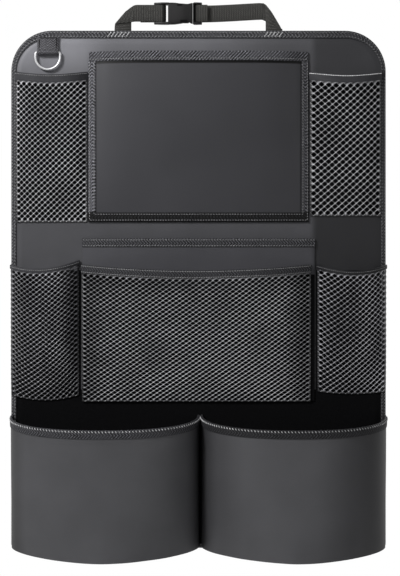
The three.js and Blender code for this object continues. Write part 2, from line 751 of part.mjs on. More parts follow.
// A ribbon through rows of two points each, thickened along the normal of its neighbours
function ribbonBody(rows, thickness) {
  const front = [];
  const back = [];
  rows.forEach(([low, high], k) => {
    const before = rows[Math.max(0, k - 1)];
    const after = rows[Math.min(rows.length - 1, k + 1)];
    const middle = (row) => row[0].clone().add(row[1]).multiplyScalar(0.5);
    const along = middle(after).sub(middle(before));
    const normal = along.cross(high.clone().sub(low)).normalize().multiplyScalar(thickness / 2);
    for (const point of [low, high]) {
      front.push(point.clone().add(normal));
      back.push(point.clone().sub(normal));
    }
  });
  const faces = [];
  for (let k = 0; k < rows.length - 1; k += 1) {
    const a = 2 * k;
    faces.push([a, a + 2, a + 3], [a, a + 3, a + 1]);
  }
  return thickBody(front, back, faces);
}

// Boolean work on closed meshes
function solidOf(geometry) {
  const bare = geometry.clone();
  bare.deleteAttribute('normal');
  bare.deleteAttribute('uv');
  const merged = mergeVertices(bare, 1e-4);
  return new wasm.Manifold(new wasm.Mesh({
    numProp: 3,
    vertProperties: new Float32Array(merged.attributes.position.array),
    triVerts: new Uint32Array(merged.index.array),
  }));
}

function geometryOf(solid) {
  const mesh = solid.getMesh();
  const geometry = new THREE.BufferGeometry();
  geometry.setAttribute('position', new THREE.BufferAttribute(new Float32Array(mesh.vertProperties), 3));
  geometry.setIndex([...mesh.triVerts]);
  return geometry;
}

// A box between two corners
function block(x0, x1, y0, y1, z0, z1) {
  const geometry = new THREE.BoxGeometry(x1 - x0, y1 - y0, z1 - z0);
  geometry.translate((x0 + x1) / 2, (y0 + y1) / 2, (z0 + z1) / 2);
  return solidOf(geometry);
}

// A moulded plate in the plane of the buckle, with softened edges, from x0 to x1
function mouldedPlate(x0, x1, height, thickness, radius, waist) {
  const soft = 0.9;
  const outline = new THREE.Shape();
  const half = height / 2 - soft;
  const left = x0 + soft;
  const right = x1 - soft;
  outline.moveTo(left + radius, -half);
  outline.quadraticCurveTo((left + right) / 2, -half + waist, right - radius, -half);
  outline.quadraticCurveTo(right, -half, right, -half + radius);
  outline.lineTo(right, half - radius);
  outline.quadraticCurveTo(right, half, right - radius, half);
  outline.quadraticCurveTo((left + right) / 2, half - waist, left + radius, half);
  outline.quadraticCurveTo(left, half, left, half - radius);
  outline.lineTo(left, -half + radius);
  outline.quadraticCurveTo(left, -half, left + radius, -half);
  const geometry = new THREE.ExtrudeGeometry(outline, {
    depth: thickness - 2 * soft,
    bevelEnabled: true,
    bevelSize: soft,
    bevelThickness: soft,
    bevelSegments: 2,
    curveSegments: 4,
  });
  geometry.rotateX(Math.PI / 2);
  geometry.translate(0, buckleY + thickness / 2 - soft, buckleZ);
  return solidOf(geometry);
}

const mouth = BUCKLE_X;
const socketStart = mouth - SOCKET_LENGTH;
const socketBody = mouth - SOCKET_BODY;
const socketBarEnd = socketBody - BUCKLE_SLOT;
const webbingRoom = WEBBING_WIDTH / 2 + SEAM_GAP * 2;
const cavityHalf = BUCKLE_HEIGHT / 2 - BUCKLE_SIDE_WALL;
const cavityThick = BUCKLE_THICKNESS - 2 * BUCKLE_FACE_WALL;
const plugStart = mouth + SEAM_GAP;
const plugEnd = plugStart + PLUG_FLANGE;
const plugBar = plugEnd - BUCKLE_BAR_END;
const windowEnd = mouth - 2;
const windowStart = windowEnd - PRONG_LENGTH * 0.8;

// The buckle's socket: a webbing bar in an open frame, and a hollow body for the prongs
function buckleSocket() {
  const high = buckleZ + BUCKLE_HEIGHT;
  const low = buckleZ - BUCKLE_HEIGHT;
  let body = mouldedPlate(socketStart, mouth, BUCKLE_HEIGHT, BUCKLE_THICKNESS, 2, 1.6);
  const slot = block(socketBarEnd, socketBody, buckleY - BUCKLE_THICKNESS, buckleY + BUCKLE_THICKNESS,
    buckleZ - webbingRoom, buckleZ + webbingRoom);
  const frontOfBar = block(socketStart - 1, socketBarEnd, buckleY - BUCKLE_THICKNESS, buckleY - BUCKLE_BAR / 2,
    buckleZ - webbingRoom, buckleZ + webbingRoom);
  const backOfBar = block(socketStart - 1, socketBarEnd, buckleY + BUCKLE_BAR / 2, buckleY + BUCKLE_THICKNESS,
    buckleZ - webbingRoom, buckleZ + webbingRoom);
  const cavity = block(mouth - PRONG_LENGTH - PRONG_ROOM, mouth + 1, buckleY - cavityThick / 2, buckleY + cavityThick / 2,
    buckleZ - cavityHalf, buckleZ + cavityHalf);
  const windows = block(windowStart, windowEnd, buckleY - cavityThick / 2, buckleY + cavityThick / 2, low, high);
  for (const cut of [slot, frontOfBar, backOfBar, cavity, windows]) {
    body = body.subtract(cut);
  }
  return geometryOf(body);
}

// The buckle's plug: a flange with a webbing bar, a centre guide and two springing prongs
function bucklePlug() {
  const running = SEAM_GAP;
  const thick = cavityThick - 2 * running;
  const y0 = buckleY - thick / 2;
  const y1 = buckleY + thick / 2;
  const tip = mouth - PRONG_LENGTH;
  const armOuter = cavityHalf - running;
  const armInner = armOuter - 3;
  let body = mouldedPlate(plugStart, plugEnd, BUCKLE_HEIGHT, BUCKLE_THICKNESS - 1, 1.6, 0);
  const slot = block(plugStart + 1.9, plugBar, buckleY - BUCKLE_THICKNESS, buckleY + BUCKLE_THICKNESS,
    buckleZ - webbingRoom, buckleZ + webbingRoom);
  const frontOfBar = block(plugBar, plugEnd + 1, buckleY - BUCKLE_THICKNESS, buckleY - BUCKLE_BAR / 2,
    buckleZ - webbingRoom, buckleZ + webbingRoom);
  const backOfBar = block(plugBar, plugEnd + 1, buckleY + BUCKLE_BAR / 2, buckleY + BUCKLE_THICKNESS,
    buckleZ - webbingRoom, buckleZ + webbingRoom);
  for (const cut of [slot, frontOfBar, backOfBar]) {
    body = body.subtract(cut);
  }
  const root = plugStart + 1;
  body = body.add(block(tip + 3, root, y0, y1, buckleZ - 1.6, buckleZ + 1.6));
  for (const side of [-1, 1]) {
    const z = (inner, outer) => [Math.min(side * inner, side * outer), Math.max(side * inner, side * outer)];
    const [armLow, armHigh] = z(armInner, armOuter);
    const [padLow, padHigh] = z(armInner, BUCKLE_HEIGHT / 2 - 0.7);
    body = body.add(block(tip, root, y0, y1, buckleZ + armLow, buckleZ + armHigh));
    body = body.add(block(windowStart + 1, windowEnd - 1.5, y0, y1, buckleZ + padLow, buckleZ + padHigh));
  }
  return geometryOf(body);
}

// Finishes, one for each kind of cloth, tape, plastic and metal
const finish = (color, roughness, metalness = 0) => new THREE.MeshStandardMaterial({ color, roughness, metalness });
const leather = finish(0x4a4a4f, 0.55);
const leatherDark = finish(0x46464b, 0.6);
const foamGrey = finish(0x2c2c2e, 0.95);
const liningBlack = finish(0x1d1d1f, 0.95);
const tapeGrey = finish(0x3c3c40, 0.85);
const filmGrey = finish(0x424247, 0.35);
const netBlack = finish(0x2a2a2c, 0.7);
const webbingGrey = finish(0x403f3e, 0.85);
const plasticBlack = finish(0x363435, 0.4);
const steel = finish(0xc8c8cc, 0.2, 1);

const organizer = new THREE.Group();

function place(name, geometry, material) {
  const mesh = new THREE.Mesh(geometry, material);
  mesh.name = name;
  organizer.add(mesh);
}

place('panel_lining', panelPly(edgeLining, LINING_THICKNESS, 0, LINING_THICKNESS), liningBlack);
place('panel_foam', panelPly(edgeFoam, PRESSED_FOAM, fieldFoam, FOAM_THICKNESS), foamGrey);
place('panel_face', panelPly(edgeFace, FACE_THICKNESS, fieldFace, FACE_THICKNESS), leather);
place('edge_binding', edgeBinding(), tapeGrey);

place('tablet_window', sheetBody(filmSurface, gridPattern(filmStations, filmRows), FILM_THICKNESS), filmGrey);
place('tablet_frame_binding', tabletFrameBinding(), tapeGrey);
place('tablet_top_binding',
  rimTape(filmSurface, filmStations, filmHeight, FILM_THICKNESS, filmGrip), tapeGrey);

place('upper_left_net', upperLeft.net, netBlack);
place('upper_left_rim_binding', upperLeft.rim, tapeGrey);
place('upper_right_net', upperRight.net, netBlack);
place('upper_right_rim_binding', upperRight.rim, tapeGrey);

place('document_pocket', sheetBody(documentSurface,
  gridPattern(stations(SHEET_STEPS), documentRows), DOCUMENT_SHEET), leatherDark);
place('document_rim_binding',
  rimTape(documentSurface, stations(SHEET_STEPS), documentHeight, DOCUMENT_SHEET, RIM_TAPE_WIDTH), tapeGrey);
place('centre_net', centre.net, netBlack);
place('centre_rim_binding', centre.rim, tapeGrey);
place('middle_left_net', middleLeft.net, netBlack);
place('middle_left_rim_binding', middleLeft.rim, tapeGrey);
place('middle_right_net', middleRight.net, netBlack);
place('middle_right_rim_binding', middleRight.rim, tapeGrey);

for (const [name, side] of [['lower_left', -1], ['lower_right', 1]]) {
  const wall = lowerWallSurface(side);
  place(`${name}_pocket`, sheetBody(wall, gridPattern(lowerStations, lowerWallRows), POCKET_SHEET), leather);
  place(`${name}_floor`, sheetBody(lowerFloorSurface(side),
    gridPattern(lowerStations.slice(1, -1), stations(2)), POCKET_SHEET), leather);
  place(`${name}_rim_binding`,
    rimTape(wall, lowerStations, lowerHeight, POCKET_SHEET, RIM_TAPE_WIDTH), tapeGrey);
}

place('ring_tab', ringTab(), webbingGrey);
place('accessory_ring', accessoryRing(), steel);

const creaseBase = bandBottom - creaseLength;
const turnPast = BUCKLE_BAR / 2 - 2 * SEAM_GAP;
const turnLeft = STRAP_EDGE_X + socketBarEnd - turnPast;
const turnRight = STRAP_EDGE_X - plugBar - turnPast;
place('strap_left', strapBody(-1, -1, creaseBase, turnLeft, TAIL_LEFT, 0), webbingGrey);
place('strap_right', strapBody(1, 1, creaseBase + STRAP_LIFT, turnRight, TAIL_RIGHT, STRAP_LIFT), webbingGrey);
place('buckle_socket', buckleSocket(), plasticBlack);
place('buckle_plug', bucklePlug(), plasticBlack);

export default organizer;
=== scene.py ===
# %% [markdown]
# # Car seat back organizer
# A stiff panel of synthetic leather that hangs from a headrest, with sewn pockets of film, net
# and leather. The real one is cut flat, bound with woven tape and stitched. Here each cut piece
# is a surface worked out from two shares, u across and v up, and then given its thickness, the
# same way for the leather, the film, the nets and the tapes.

import math

import bpy
import numpy as np
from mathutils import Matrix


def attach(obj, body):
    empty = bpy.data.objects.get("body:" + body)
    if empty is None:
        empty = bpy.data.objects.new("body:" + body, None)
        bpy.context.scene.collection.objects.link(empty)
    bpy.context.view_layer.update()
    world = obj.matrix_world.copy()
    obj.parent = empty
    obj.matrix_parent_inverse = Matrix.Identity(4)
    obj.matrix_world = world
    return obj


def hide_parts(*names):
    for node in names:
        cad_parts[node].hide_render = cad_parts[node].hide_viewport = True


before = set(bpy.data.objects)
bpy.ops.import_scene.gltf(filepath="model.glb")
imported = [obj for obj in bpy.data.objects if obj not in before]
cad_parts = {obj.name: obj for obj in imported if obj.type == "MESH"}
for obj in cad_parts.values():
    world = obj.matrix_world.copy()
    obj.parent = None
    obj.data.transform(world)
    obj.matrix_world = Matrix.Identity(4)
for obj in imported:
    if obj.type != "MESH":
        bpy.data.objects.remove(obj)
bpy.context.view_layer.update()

# %% [markdown]
# ## Camera
# The photograph was taken square on, from about 1.4 m, with the panel filling the frame, which is
# 645 mm tall at the panel. A lens of 78 mm gives that framing, and a small shift centres the strap
# and the bottom pockets.

# %% Camera
VIEW_DISTANCE, VIEW_TALL = 1400, 645.1
camera = bpy.data.objects.new("camera", bpy.data.cameras.new("camera"))
bpy.context.scene.collection.objects.link(camera)
camera.location = (0, -1.405, 0.0305)
camera.rotation_euler = (math.pi / 2, 0, 0)
camera.data.sensor_width = 36
camera.data.lens = 36 * VIEW_DISTANCE / VIEW_TALL
camera.data.shift_x = 0.0026
camera.data.shift_y = -0.045
bpy.context.scene.camera = camera
print("lens", round(camera.data.lens, 1), "mm")

# %% [markdown]
# ## Meshes from arrays
# Every shape is worked out in millimetres, as whole arrays, and put into a mesh in metres. A
# sheet is a grid of points on its middle surface, moved half its thickness to the front and to
# the back. Cloth is never quite flat, so seeded hills are added to it.


# %% From arrays to a piece of the object
def piece(name, points, faces, material, body="organizer", uv=None, crease=38):
    """A mesh from points in millimetres and lists of face corners. If its signed volume, the sum
    of every face's triple product, is negative, all faces are turned to point outwards."""
    points = np.asarray(points, float).reshape(-1, 3) * 0.001
    volume = 0.0
    for group in faces:
        first = points[group[:, 0]]
        for k in range(1, group.shape[1] - 1):
            turn = np.cross(points[group[:, k]], points[group[:, k + 1]])
            volume += np.einsum("ij,ij->", first, turn)
    if volume < 0:
        faces = [group[:, ::-1] for group in faces]
    loops = np.concatenate([group.ravel() for group in faces])
    sizes = np.concatenate([np.full(len(group), group.shape[1]) for group in faces])
    mesh = bpy.data.meshes.new(name)
    mesh.vertices.add(len(points))
    mesh.vertices.foreach_set("co", points.ravel())
    mesh.loops.add(len(loops))
    mesh.loops.foreach_set("vertex_index", loops.astype(np.int32))
    mesh.polygons.add(len(sizes))
    mesh.polygons.foreach_set("loop_start", (np.cumsum(sizes) - sizes).astype(np.int32))
    mesh.polygons.foreach_set("use_smooth", np.ones(len(sizes), bool))
    if uv is not None:
        layer = mesh.uv_layers.new(name="cloth")
        layer.uv.foreach_set("vector", np.asarray(uv, float).reshape(-1, 2)[loops].ravel())
    mesh.update(calc_edges=True)
    mesh.set_sharp_from_angle(angle=math.radians(crease))
    mesh.materials.append(material)
    made = bpy.data.objects.new(name, mesh)
    bpy.context.scene.collection.objects.link(made)
    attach(made, body)
    print(f"{name}: {int((sizes - 2).sum())} triangles")
    return made


def back_with(made, finish, inside):
    """Gives the faces whose middles lie inside a place, told by x and z in millimetres, a
    second finish."""
    mesh = made.data
    mesh.materials.append(finish)
    middles = np.empty(len(mesh.polygons) * 3)
    mesh.polygons.foreach_get("center", middles)
    x, _, z = middles.reshape(-1, 3).T * 1000
    mesh.polygons.foreach_set("material_index", inside(x, z).astype(np.int32))


def normals(points):
    """Unit normals of a grid: the step across, crossed with the step up."""
    turn = np.cross(np.gradient(points, axis=1), np.gradient(points, axis=0))
    return turn / np.linalg.norm(turn, axis=-1, keepdims=True)


def shell(middle, thickness):
    """A closed sheet: the grid moved half its thickness to both sides, with walls round it."""
    off = normals(middle) * (thickness / 2)
    rows, columns = middle.shape[:2]
    index = np.arange(rows * columns).reshape(rows, columns)
    corners = [index[:-1, :-1], index[:-1, 1:], index[1:, 1:], index[1:, :-1]]
    front = np.stack(corners, -1).reshape(-1, 4)
    edge = np.concatenate([index[0], index[1:, -1], index[-1, -2::-1], index[-2:0:-1, 0]])
    after, back = np.roll(edge, -1), rows * columns
    walls = np.stack([after, edge, edge + back, after + back], -1)
    points = np.concatenate([(middle + off).reshape(-1, 3), (middle - off).reshape(-1, 3)])
    return points, [front, front[:, ::-1] + back, walls]


def swept(sections, closed=False):
    """Section polygons, one row each, joined along a path as a ring or with flat ends."""
    count, size = sections.shape[:2]
    index = np.arange(count * size).reshape(count, size)
    here = index if closed else index[:-1]
    there = np.roll(index, -1, 0) if closed else index[1:]
    sides = [here, there, np.roll(there, -1, 1), np.roll(here, -1, 1)]
    faces = [np.stack(sides, -1).reshape(-1, 4)]
    if not closed:
        faces += [index[:1], index[-1:, ::-1]]
    return sections.reshape(-1, 3), faces


def lengths(path):
    """How far along a path each of its points lies, from zero at the first."""
    return np.concatenate([[0], np.cumsum(np.linalg.norm(np.diff(path, axis=0), axis=1))])


def woven_map(edge, section):
    """The UV map of a tape: millimetres along one of its edges, and round one of its sections."""
    return np.stack(np.meshgrid(lengths(edge), lengths(section), indexing="ij"), -1)


def shares(columns, rows):
    """A grid of the two shares, u across and v up."""
    return np.meshgrid(np.linspace(0, 1, columns), np.linspace(0, 1, rows))


def swell(x, z, size, seed):
    """Smooth hills from -1 to 1: seeded heights on a square grid, blended by t*t*(3 - 2t)."""
    heights = np.random.default_rng(seed).uniform(-1, 1, (64, 64))
    s, t = np.asarray(x) / size + 20.3, np.asarray(z) / size + 20.7
    i, j = np.floor(s).astype(int), np.floor(t).astype(int)
    a, b = s - i, t - j
    a, b = a * a * (3 - 2 * a), b * b * (3 - 2 * b)
    low = heights[i % 64, j % 64] * (1 - a) + heights[(i + 1) % 64, j % 64] * a
    high = heights[i % 64, (j + 1) % 64] * (1 - a) + heights[(i + 1) % 64, (j + 1) % 64] * a
    return low * (1 - b) + high * b


def smooth(x, low, high):
    """The share of the way from low to high, eased at both ends."""
    t = np.clip((x - low) / (high - low), 0, 1)
    return t * t * (3 - 2 * t)


# %% [markdown]
# ## Patterns that several materials share
# Leather grain, the ribs of a woven tape and the soft border of a zone are used by more than one
# material, so each is a shader node group with its own inputs. A group only works out heights,
# tones and masks: the shader itself stays in the material.


# %% Node helpers
def feed(made, inputs):
    """Links or sets a node's inputs. An input named _2 is the third socket, others go by name."""
    for key, value in inputs.items():
        socket = made.inputs[int(key[1:]) if key[0] == "_" else key.replace("_", " ")]
        if isinstance(value, bpy.types.NodeSocket):
            made.id_data.links.new(value, socket)
        else:
            socket.default_value = value
    return made


def add(tree, kind, settings=None, **inputs):
    """Adds a shader node with its settings and its inputs."""
    made = tree.nodes.new("ShaderNode" + kind)
    for key, value in (settings or {}).items():
        setattr(made, key, value)
    return feed(made, inputs)


def math_node(tree, operation, a, b=0.0, c=0.0):
    """One step of arithmetic between sockets or numbers."""
    return add(tree, "Math", {"operation": operation}, _0=a, _1=b, _2=c).outputs[0]


def noise(tree, vector, scale, detail=2.0):
    """A smooth noise from 0 to 1, with so many hills to the unit of the vector."""
    return add(tree, "TexNoise", Vector=vector, Scale=scale, Detail=detail).outputs[0]


def object_place(tree):
    """Where a point lies on the object, in metres."""
    return add(tree, "TexCoord").outputs["Object"]


def new_group(name, inputs, outputs):
    """An empty node group: inputs are (name, kind, default), outputs are names of numbers."""
    tree = bpy.data.node_groups.new(name, "ShaderNodeTree")
    for title, kind, value in inputs:
        made = tree.interface.new_socket(title, in_out="INPUT", socket_type="NodeSocket" + kind)
        if value is not None:
            made.default_value = value
    for title in outputs:
        tree.interface.new_socket(title, in_out="OUTPUT", socket_type="NodeSocketFloat")
    return tree, tree.nodes.new("NodeGroupInput").outputs, tree.nodes.new("NodeGroupOutput").inputs


def place_group(tree, group, **inputs):
    """Puts a group into a material with its inputs."""
    return add(tree, "Group", {"node_tree": group}, **inputs).outputs


# %% Leather grain: rounded pebbles with fine creases between them, and a slow drift of tone
grain, given, out = new_group(
    "leather grain",
    [("Vector", "Vector", None), ("Pebble", "Float", 700.0), ("Drift", "Float", 22.0)],
    ["Height", "Tone"],
)
cells = add(grain, "TexVoronoi", {"feature": "DISTANCE_TO_EDGE"}, Vector=given["Vector"],
            Scale=given["Pebble"])
pebble = math_node(grain, "POWER", math_node(grain, "MULTIPLY", cells.outputs["Distance"], 1.8), 0.5)
pores = noise(grain, given["Vector"], 1500.0)
height = math_node(grain, "MULTIPLY_ADD", pores, 0.45, pebble)
grain.links.new(height, out["Height"])
drift = noise(grain, given["Vector"], given["Drift"], 3.0)
tone = math_node(grain, "MULTIPLY_ADD", drift, 0.34, 0.83)
grain.links.new(tone, out["Tone"])

# %% Tape ribs: a triangle wave along the tape, slanted one way and then the other across it
# A wide noise makes patches where the ribs are rubbed and hardly show.
ribs, given, out = new_group(
    "tape ribs",
    [("Vector", "Vector", None), ("Pitch", "Float", 1.9), ("Chevron", "Float", 2.1),
     ("Slant", "Float", 1.0)],
    ["Height", "Tone"],
)
parts = add(ribs, "SeparateXYZ", Vector=given["Vector"])
bend = math_node(ribs, "PINGPONG", parts.outputs["Y"], given["Chevron"])
along = math_node(ribs, "ADD", parts.outputs["X"], math_node(ribs, "MULTIPLY", bend, given["Slant"]))
half_pitch = math_node(ribs, "MULTIPLY", given["Pitch"], 0.5)
wave = math_node(ribs, "DIVIDE", math_node(ribs, "PINGPONG", along, half_pitch), half_pitch)
fuzz = noise(ribs, given["Vector"], 0.55)
height = math_node(ribs, "MULTIPLY_ADD", fuzz, 0.5, wave)
ribs.links.new(height, out["Height"])
crown = add(ribs, "MapRange", {"interpolation_type": "SMOOTHSTEP"}, Value=wave, From_Min=0.35,
            From_Max=0.85).outputs[0]
uneven = math_node(ribs, "MAXIMUM", math_node(ribs, "MULTIPLY_ADD", fuzz, 4.0, -1.0), 0.1)
tone = math_node(ribs, "MULTIPLY_ADD", math_node(ribs, "MULTIPLY", crown, uneven), 2.15, 0.12)
rubbed = noise(ribs, given["Vector"], 0.07)
clear = add(ribs, "MapRange", Value=rubbed, From_Min=0.35, From_Max=0.6, To_Min=0.3,
            To_Max=1.15).outputs[0]
tone = math_node(ribs, "MULTIPLY_ADD", math_node(ribs, "SUBTRACT", tone, 1.0), clear, 1.0)
ribs.links.new(tone, out["Tone"])

# %% Zone: one inside a soft-edged rectangle of the panel, and zero outside it
zone, given, out = new_group(
    "zone",
    [("Vector", "Vector", None), ("Left", "Float", 0.0), ("Right", "Float", 1.0),
     ("Low", "Float", 0.0), ("High", "Float", 1.0), ("Soft", "Float", 0.004)],
    ["Mask"],
)
parts = add(zone, "SeparateXYZ", Vector=given["Vector"])


def soft_step(coordinate, border):
    """Zero below a border and one above it, eased over the group's soft width."""
    return add(zone, "MapRange", {"interpolation_type": "SMOOTHSTEP"}, Value=coordinate,
               From_Min=math_node(zone, "SUBTRACT", border, given["Soft"]),
               From_Max=math_node(zone, "ADD", border, given["Soft"])).outputs[0]


inside = math_node(zone, "SUBTRACT", soft_step(parts.outputs["X"], given["Left"]),
                   soft_step(parts.outputs["X"], given["Right"]))
between = math_node(zone, "SUBTRACT", soft_step(parts.outputs["Z"], given["Low"]),
                    soft_step(parts.outputs["Z"], given["High"]))
zone.links.new(math_node(zone, "MULTIPLY", inside, between), out["Mask"])
print("node groups:", [g.name for g in bpy.data.node_groups])

# %% [markdown]
# ## Materials
# The leather is a charcoal sheet with a satin skin. Behind the nets and inside the bottom pockets
# the sheet has painted shade, a near-black second finish on the same sheet. The organizer has
# painted light at its top left and painted shade at its right, as soft-edged zones that multiply
# the colour. Tapes and webbing are woven, so their ribs follow the UV map, which holds millimetres
# along and across. Net yarn has painted highlights on the knots and painted shade in the depth
# between them, which its UV map holds. Thread, film, steel, plastic and lining get a little noise,
# as nothing real is even.


# %% A material from its colour, its tones and its relief
def material(name, color, roughness, **values):
    """A Principled surface of one colour, with any other of the shader's values by name."""
    made = bpy.data.materials.new(name)
    made.use_nodes = True
    tree = made.node_tree
    shader = tree.nodes["Principled BSDF"]
    shader.inputs["Base Color"].default_value = (*color, 1)
    shader.inputs["Roughness"].default_value = roughness
    for key, value in values.items():
        shader.inputs[key.replace("_", " ")].default_value = value
    return made, tree, shader


def tinted(tree, shader, tone, *more):
    """The surface's own colour times each tone in turn."""
    for other in more:
        tone = math_node(tree, "MULTIPLY", tone, other)
    color = shader.inputs["Base Color"].default_value[:3]
    mixed = add(tree, "VectorMath", {"operation": "SCALE"}, _0=color, Scale=tone)
    tree.links.new(mixed.outputs[0], shader.inputs["Base Color"])


def embossed(tree, shader, height, strength, distance):
    """Bends the surface by a height through a Bump node."""
    bump = add(tree, "Bump", Strength=strength, Distance=distance, Height=height)
    tree.links.new(bump.outputs[0], shader.inputs["Normal"])


def zone_tone(tree, vector, zones):
    """The product of all zones' tones. A zone is (left, right, low, high, soft, tone), its places
    and the width of its soft border in metres; outside it the tone is one."""
    result = 1.0
    for left, right, low, high, soft, tone in zones:
        mask = place_group(tree, zone, Vector=vector, Left=left, Right=right, Low=low, High=high,
                           Soft=soft)["Mask"]
        inside = math_node(tree, "MULTIPLY_ADD", mask, tone - 1.0, 1.0)
        result = math_node(tree, "MULTIPLY", inside, result)
    return result


def leather(name, color, roughness=0.5, zones=()):
    """Synthetic leather: grain in the relief, a slow drift of tone, and zones of painted light and
    shade.
    """
    made, tree, shader = material(name, color, roughness, Specular_IOR_Level=0.3)
    place = object_place(tree)
    skin = place_group(tree, grain, Vector=place)
    tinted(tree, shader, skin["Tone"], zone_tone(tree, place, zones))
    embossed(tree, shader, skin["Height"], 0.18, 0.0003)
    return made


def tape(name, color, pitch, chevron, roughness=0.7, strength=0.6, contrast=1.0, slant=-1.0,
         zones=()):
    """A woven tape: slanting ribs on the UV map, in millimetres, and zones of other tones."""
    made, tree, shader = material(name, color, roughness, Specular_IOR_Level=0.25)
    place = add(tree, "TexCoord").outputs
    weave = place_group(tree, ribs, Vector=place["UV"], Pitch=pitch, Chevron=chevron, Slant=slant)
    tone = math_node(tree, "MULTIPLY_ADD", weave["Tone"], contrast, 1.0 - contrast)
    tinted(tree, shader, tone, zone_tone(tree, place["Object"], zones))
    embossed(tree, shader, weave["Height"], strength, 0.0004)
    return made


# %% Leathers
# A zone that reaches past the organizer's side ends FAR away.
FAR = 1.0
# Painted light and shade on the panel, as soft-edged zones of tone.
PANEL_PAINTED_LIGHT = [
    (0.1285, FAR, -0.30, 0.32, 0.005, 0.55),  # painted shade right of the tablet and the pockets
    (0.1285, FAR, -0.30, 0.10, 0.006, 0.6),  # and more painted shade below the upper net
    (-FAR, 0.05, 0.24, 0.32, 0.06, 2.1),  # the lamp's sheen along the top left
    (-FAR, -0.118, 0.24, 0.32, 0.03, 1.6),  # and at the ring's corner
]
# Painted shade on the bottom pockets: where they turn from the lamp, at their sides and seams.
POCKET_PAINTED_SHADE = [
    (0.150, FAR, -0.30, -0.13, 0.03, 0.62),  # the right pocket turns away from the lamp
    (-0.005, 0.012, -0.3, -0.1, 0.010, 0.55),  # painted shade in the seam between the two pockets
    (0.0, 0.038, -0.3, -0.1, 0.014, 0.78),  # the right pocket's inner side
    (-0.3, -0.196, -0.3, -0.1, 0.011, 0.33),  # the left pocket's outer side
    (0.186, 0.3, -0.3, -0.1, 0.016, 0.45),  # the right pocket's outer side
    (0.205, 0.3, -0.3, -0.1, 0.004, 0.35),  # and its seam
]
panel_leather = leather("panel leather", (0.076, 0.076, 0.083), 0.48, PANEL_PAINTED_LIGHT)
pocket_leather = leather("pocket leather", (0.082, 0.082, 0.088), 0.55, POCKET_PAINTED_SHADE)
# The document sheet has painted shade at its right, as the panel has.
document_leather = leather("document leather", (0.065, 0.065, 0.073), 0.5,
                           [(0.128, FAR, -0.17, 0.08, 0.004, 0.5)])

# %% Tapes and webbing
# Tapes have painted shade at the right, away from the lamp. Around the tablet the bottom tape is
# nearly black and the left one has painted light. The webbing has painted shade where it turns
# round the buckle's two bars.
edge_tape = tape("edge tape", (0.062, 0.062, 0.068), 4.0, 4.4, contrast=0.7,
                 zones=[(0.13, FAR, -FAR, FAR, 0.05, 0.6)])
frame_tape = tape("tablet frame tape", (0.078, 0.078, 0.087), 3.8, 4.6, contrast=0.9, slant=1.0,
                  zones=[(-FAR, FAR, 0.05, 0.0865, 0.0008, 0.08),
                         (0.10, FAR, 0.05, 0.26, 0.002, 0.6),
                         (-0.13, -0.1145, 0.0865, 0.26, 0.0008, 1.45)])
top_tape_cloth = tape("tablet top tape", (0.078, 0.078, 0.087), 3.8, 10.5, contrast=0.9,
                      zones=[(0.10, FAR, 0.05, 0.28, 0.02, 0.6)])
rim_tape_cloth = tape("rim tape", (0.045, 0.045, 0.050), 3.4, 4.4, contrast=0.75,
                      zones=[(0.0, FAR, -0.2, -0.1, 0.02, 0.45),
                             (-FAR, FAR, 0.0, 0.04, 0.004, 0.75)])
plain_tape = tape("plain rim tape", (0.041, 0.041, 0.046), 1.4, 4.0, 0.6, 0.25, 0.2,
                  zones=[(0.12, FAR, 0.05, FAR, 0.004, 0.9), (0.12, FAR, -FAR, 0.05, 0.004, 0.35)])
webbing = tape("webbing", (0.050, 0.049, 0.046), 2.7, 1.3, 0.75, 0.7, 0.5,
               zones=[(-0.0405, -0.0363, 0.29, 0.33, 0.0006, 0.1),
                      (-0.0035, -0.0012, 0.29, 0.33, 0.0005, 0.5)])
tab_cloth = tape("ring tab cloth", (0.078, 0.077, 0.085), 2.8, 3.0, 0.6, 0.6, 0.55)


# %% Plain finishes: thread, backing and moulded plastic
def speckled(name, color, roughness, scale, detail, gain, base, bump=None, zones=(), **values):
    """A finish whose tone is a noise times a gain plus a base. The same noise bends the surface
    where a bump is given, as its strength and its distance in metres."""
    made, tree, shader = material(name, color, roughness, **values)
    place = object_place(tree)
    speck = noise(tree, place, scale, detail)
    tinted(tree, shader, math_node(tree, "MULTIPLY_ADD", speck, gain, base),
           zone_tone(tree, place, zones))
    if bump:
        embossed(tree, shader, speck, *bump)
    return made


def sewing(name, shade, right=0.6):
    """Sewing thread of one grey, with its twist as uneven tone, and painted shade of the given tone at
    the right, away from the lamp.
    """
    return speckled(name, (shade, shade, shade * 1.02), 0.55, 160.0, 2.0, 1.4, 0.2,
                    zones=[(0.10, FAR, -FAR, FAR, 0.05, right)])


thread, bright_thread = sewing("thread", 0.30), sewing("bright thread", 0.62)
dark_thread, rim_thread = sewing("dark thread", 0.006), sewing("upper rim thread", 0.9, 1.0)
# Near-black painted shade for the panel behind the nets and below the bottom pockets' mouths.
painted_shade_finish = speckled("black backing cloth", (0.0045, 0.0045, 0.005), 0.9, 700.0, 3.0, 1.0, 0.5,
                   (0.3, 0.0003), Specular_IOR_Level=0.05)
# Painted shade on the buckle's middle, and in the socket's two windows, which are not cut.
BUCKLE_SHADE = (-0.017, 0.01, 0.29, 0.33, 0.012, 0.5)
BUCKLE_WINDOW_SHADE = [(-0.0238, -0.0185, 0.3178, 0.33, 0.0005, 0.05),
                  (-0.0205, -0.0125, 0.29, 0.3024, 0.0006, 0.05)]
plastic = speckled("moulded plastic", (0.026, 0.025, 0.026), 0.5, 1300.0, 2.0, 0.6, 0.7,
                   (0.2, 0.0002), [BUCKLE_SHADE, *BUCKLE_WINDOW_SHADE], Specular_IOR_Level=0.25)


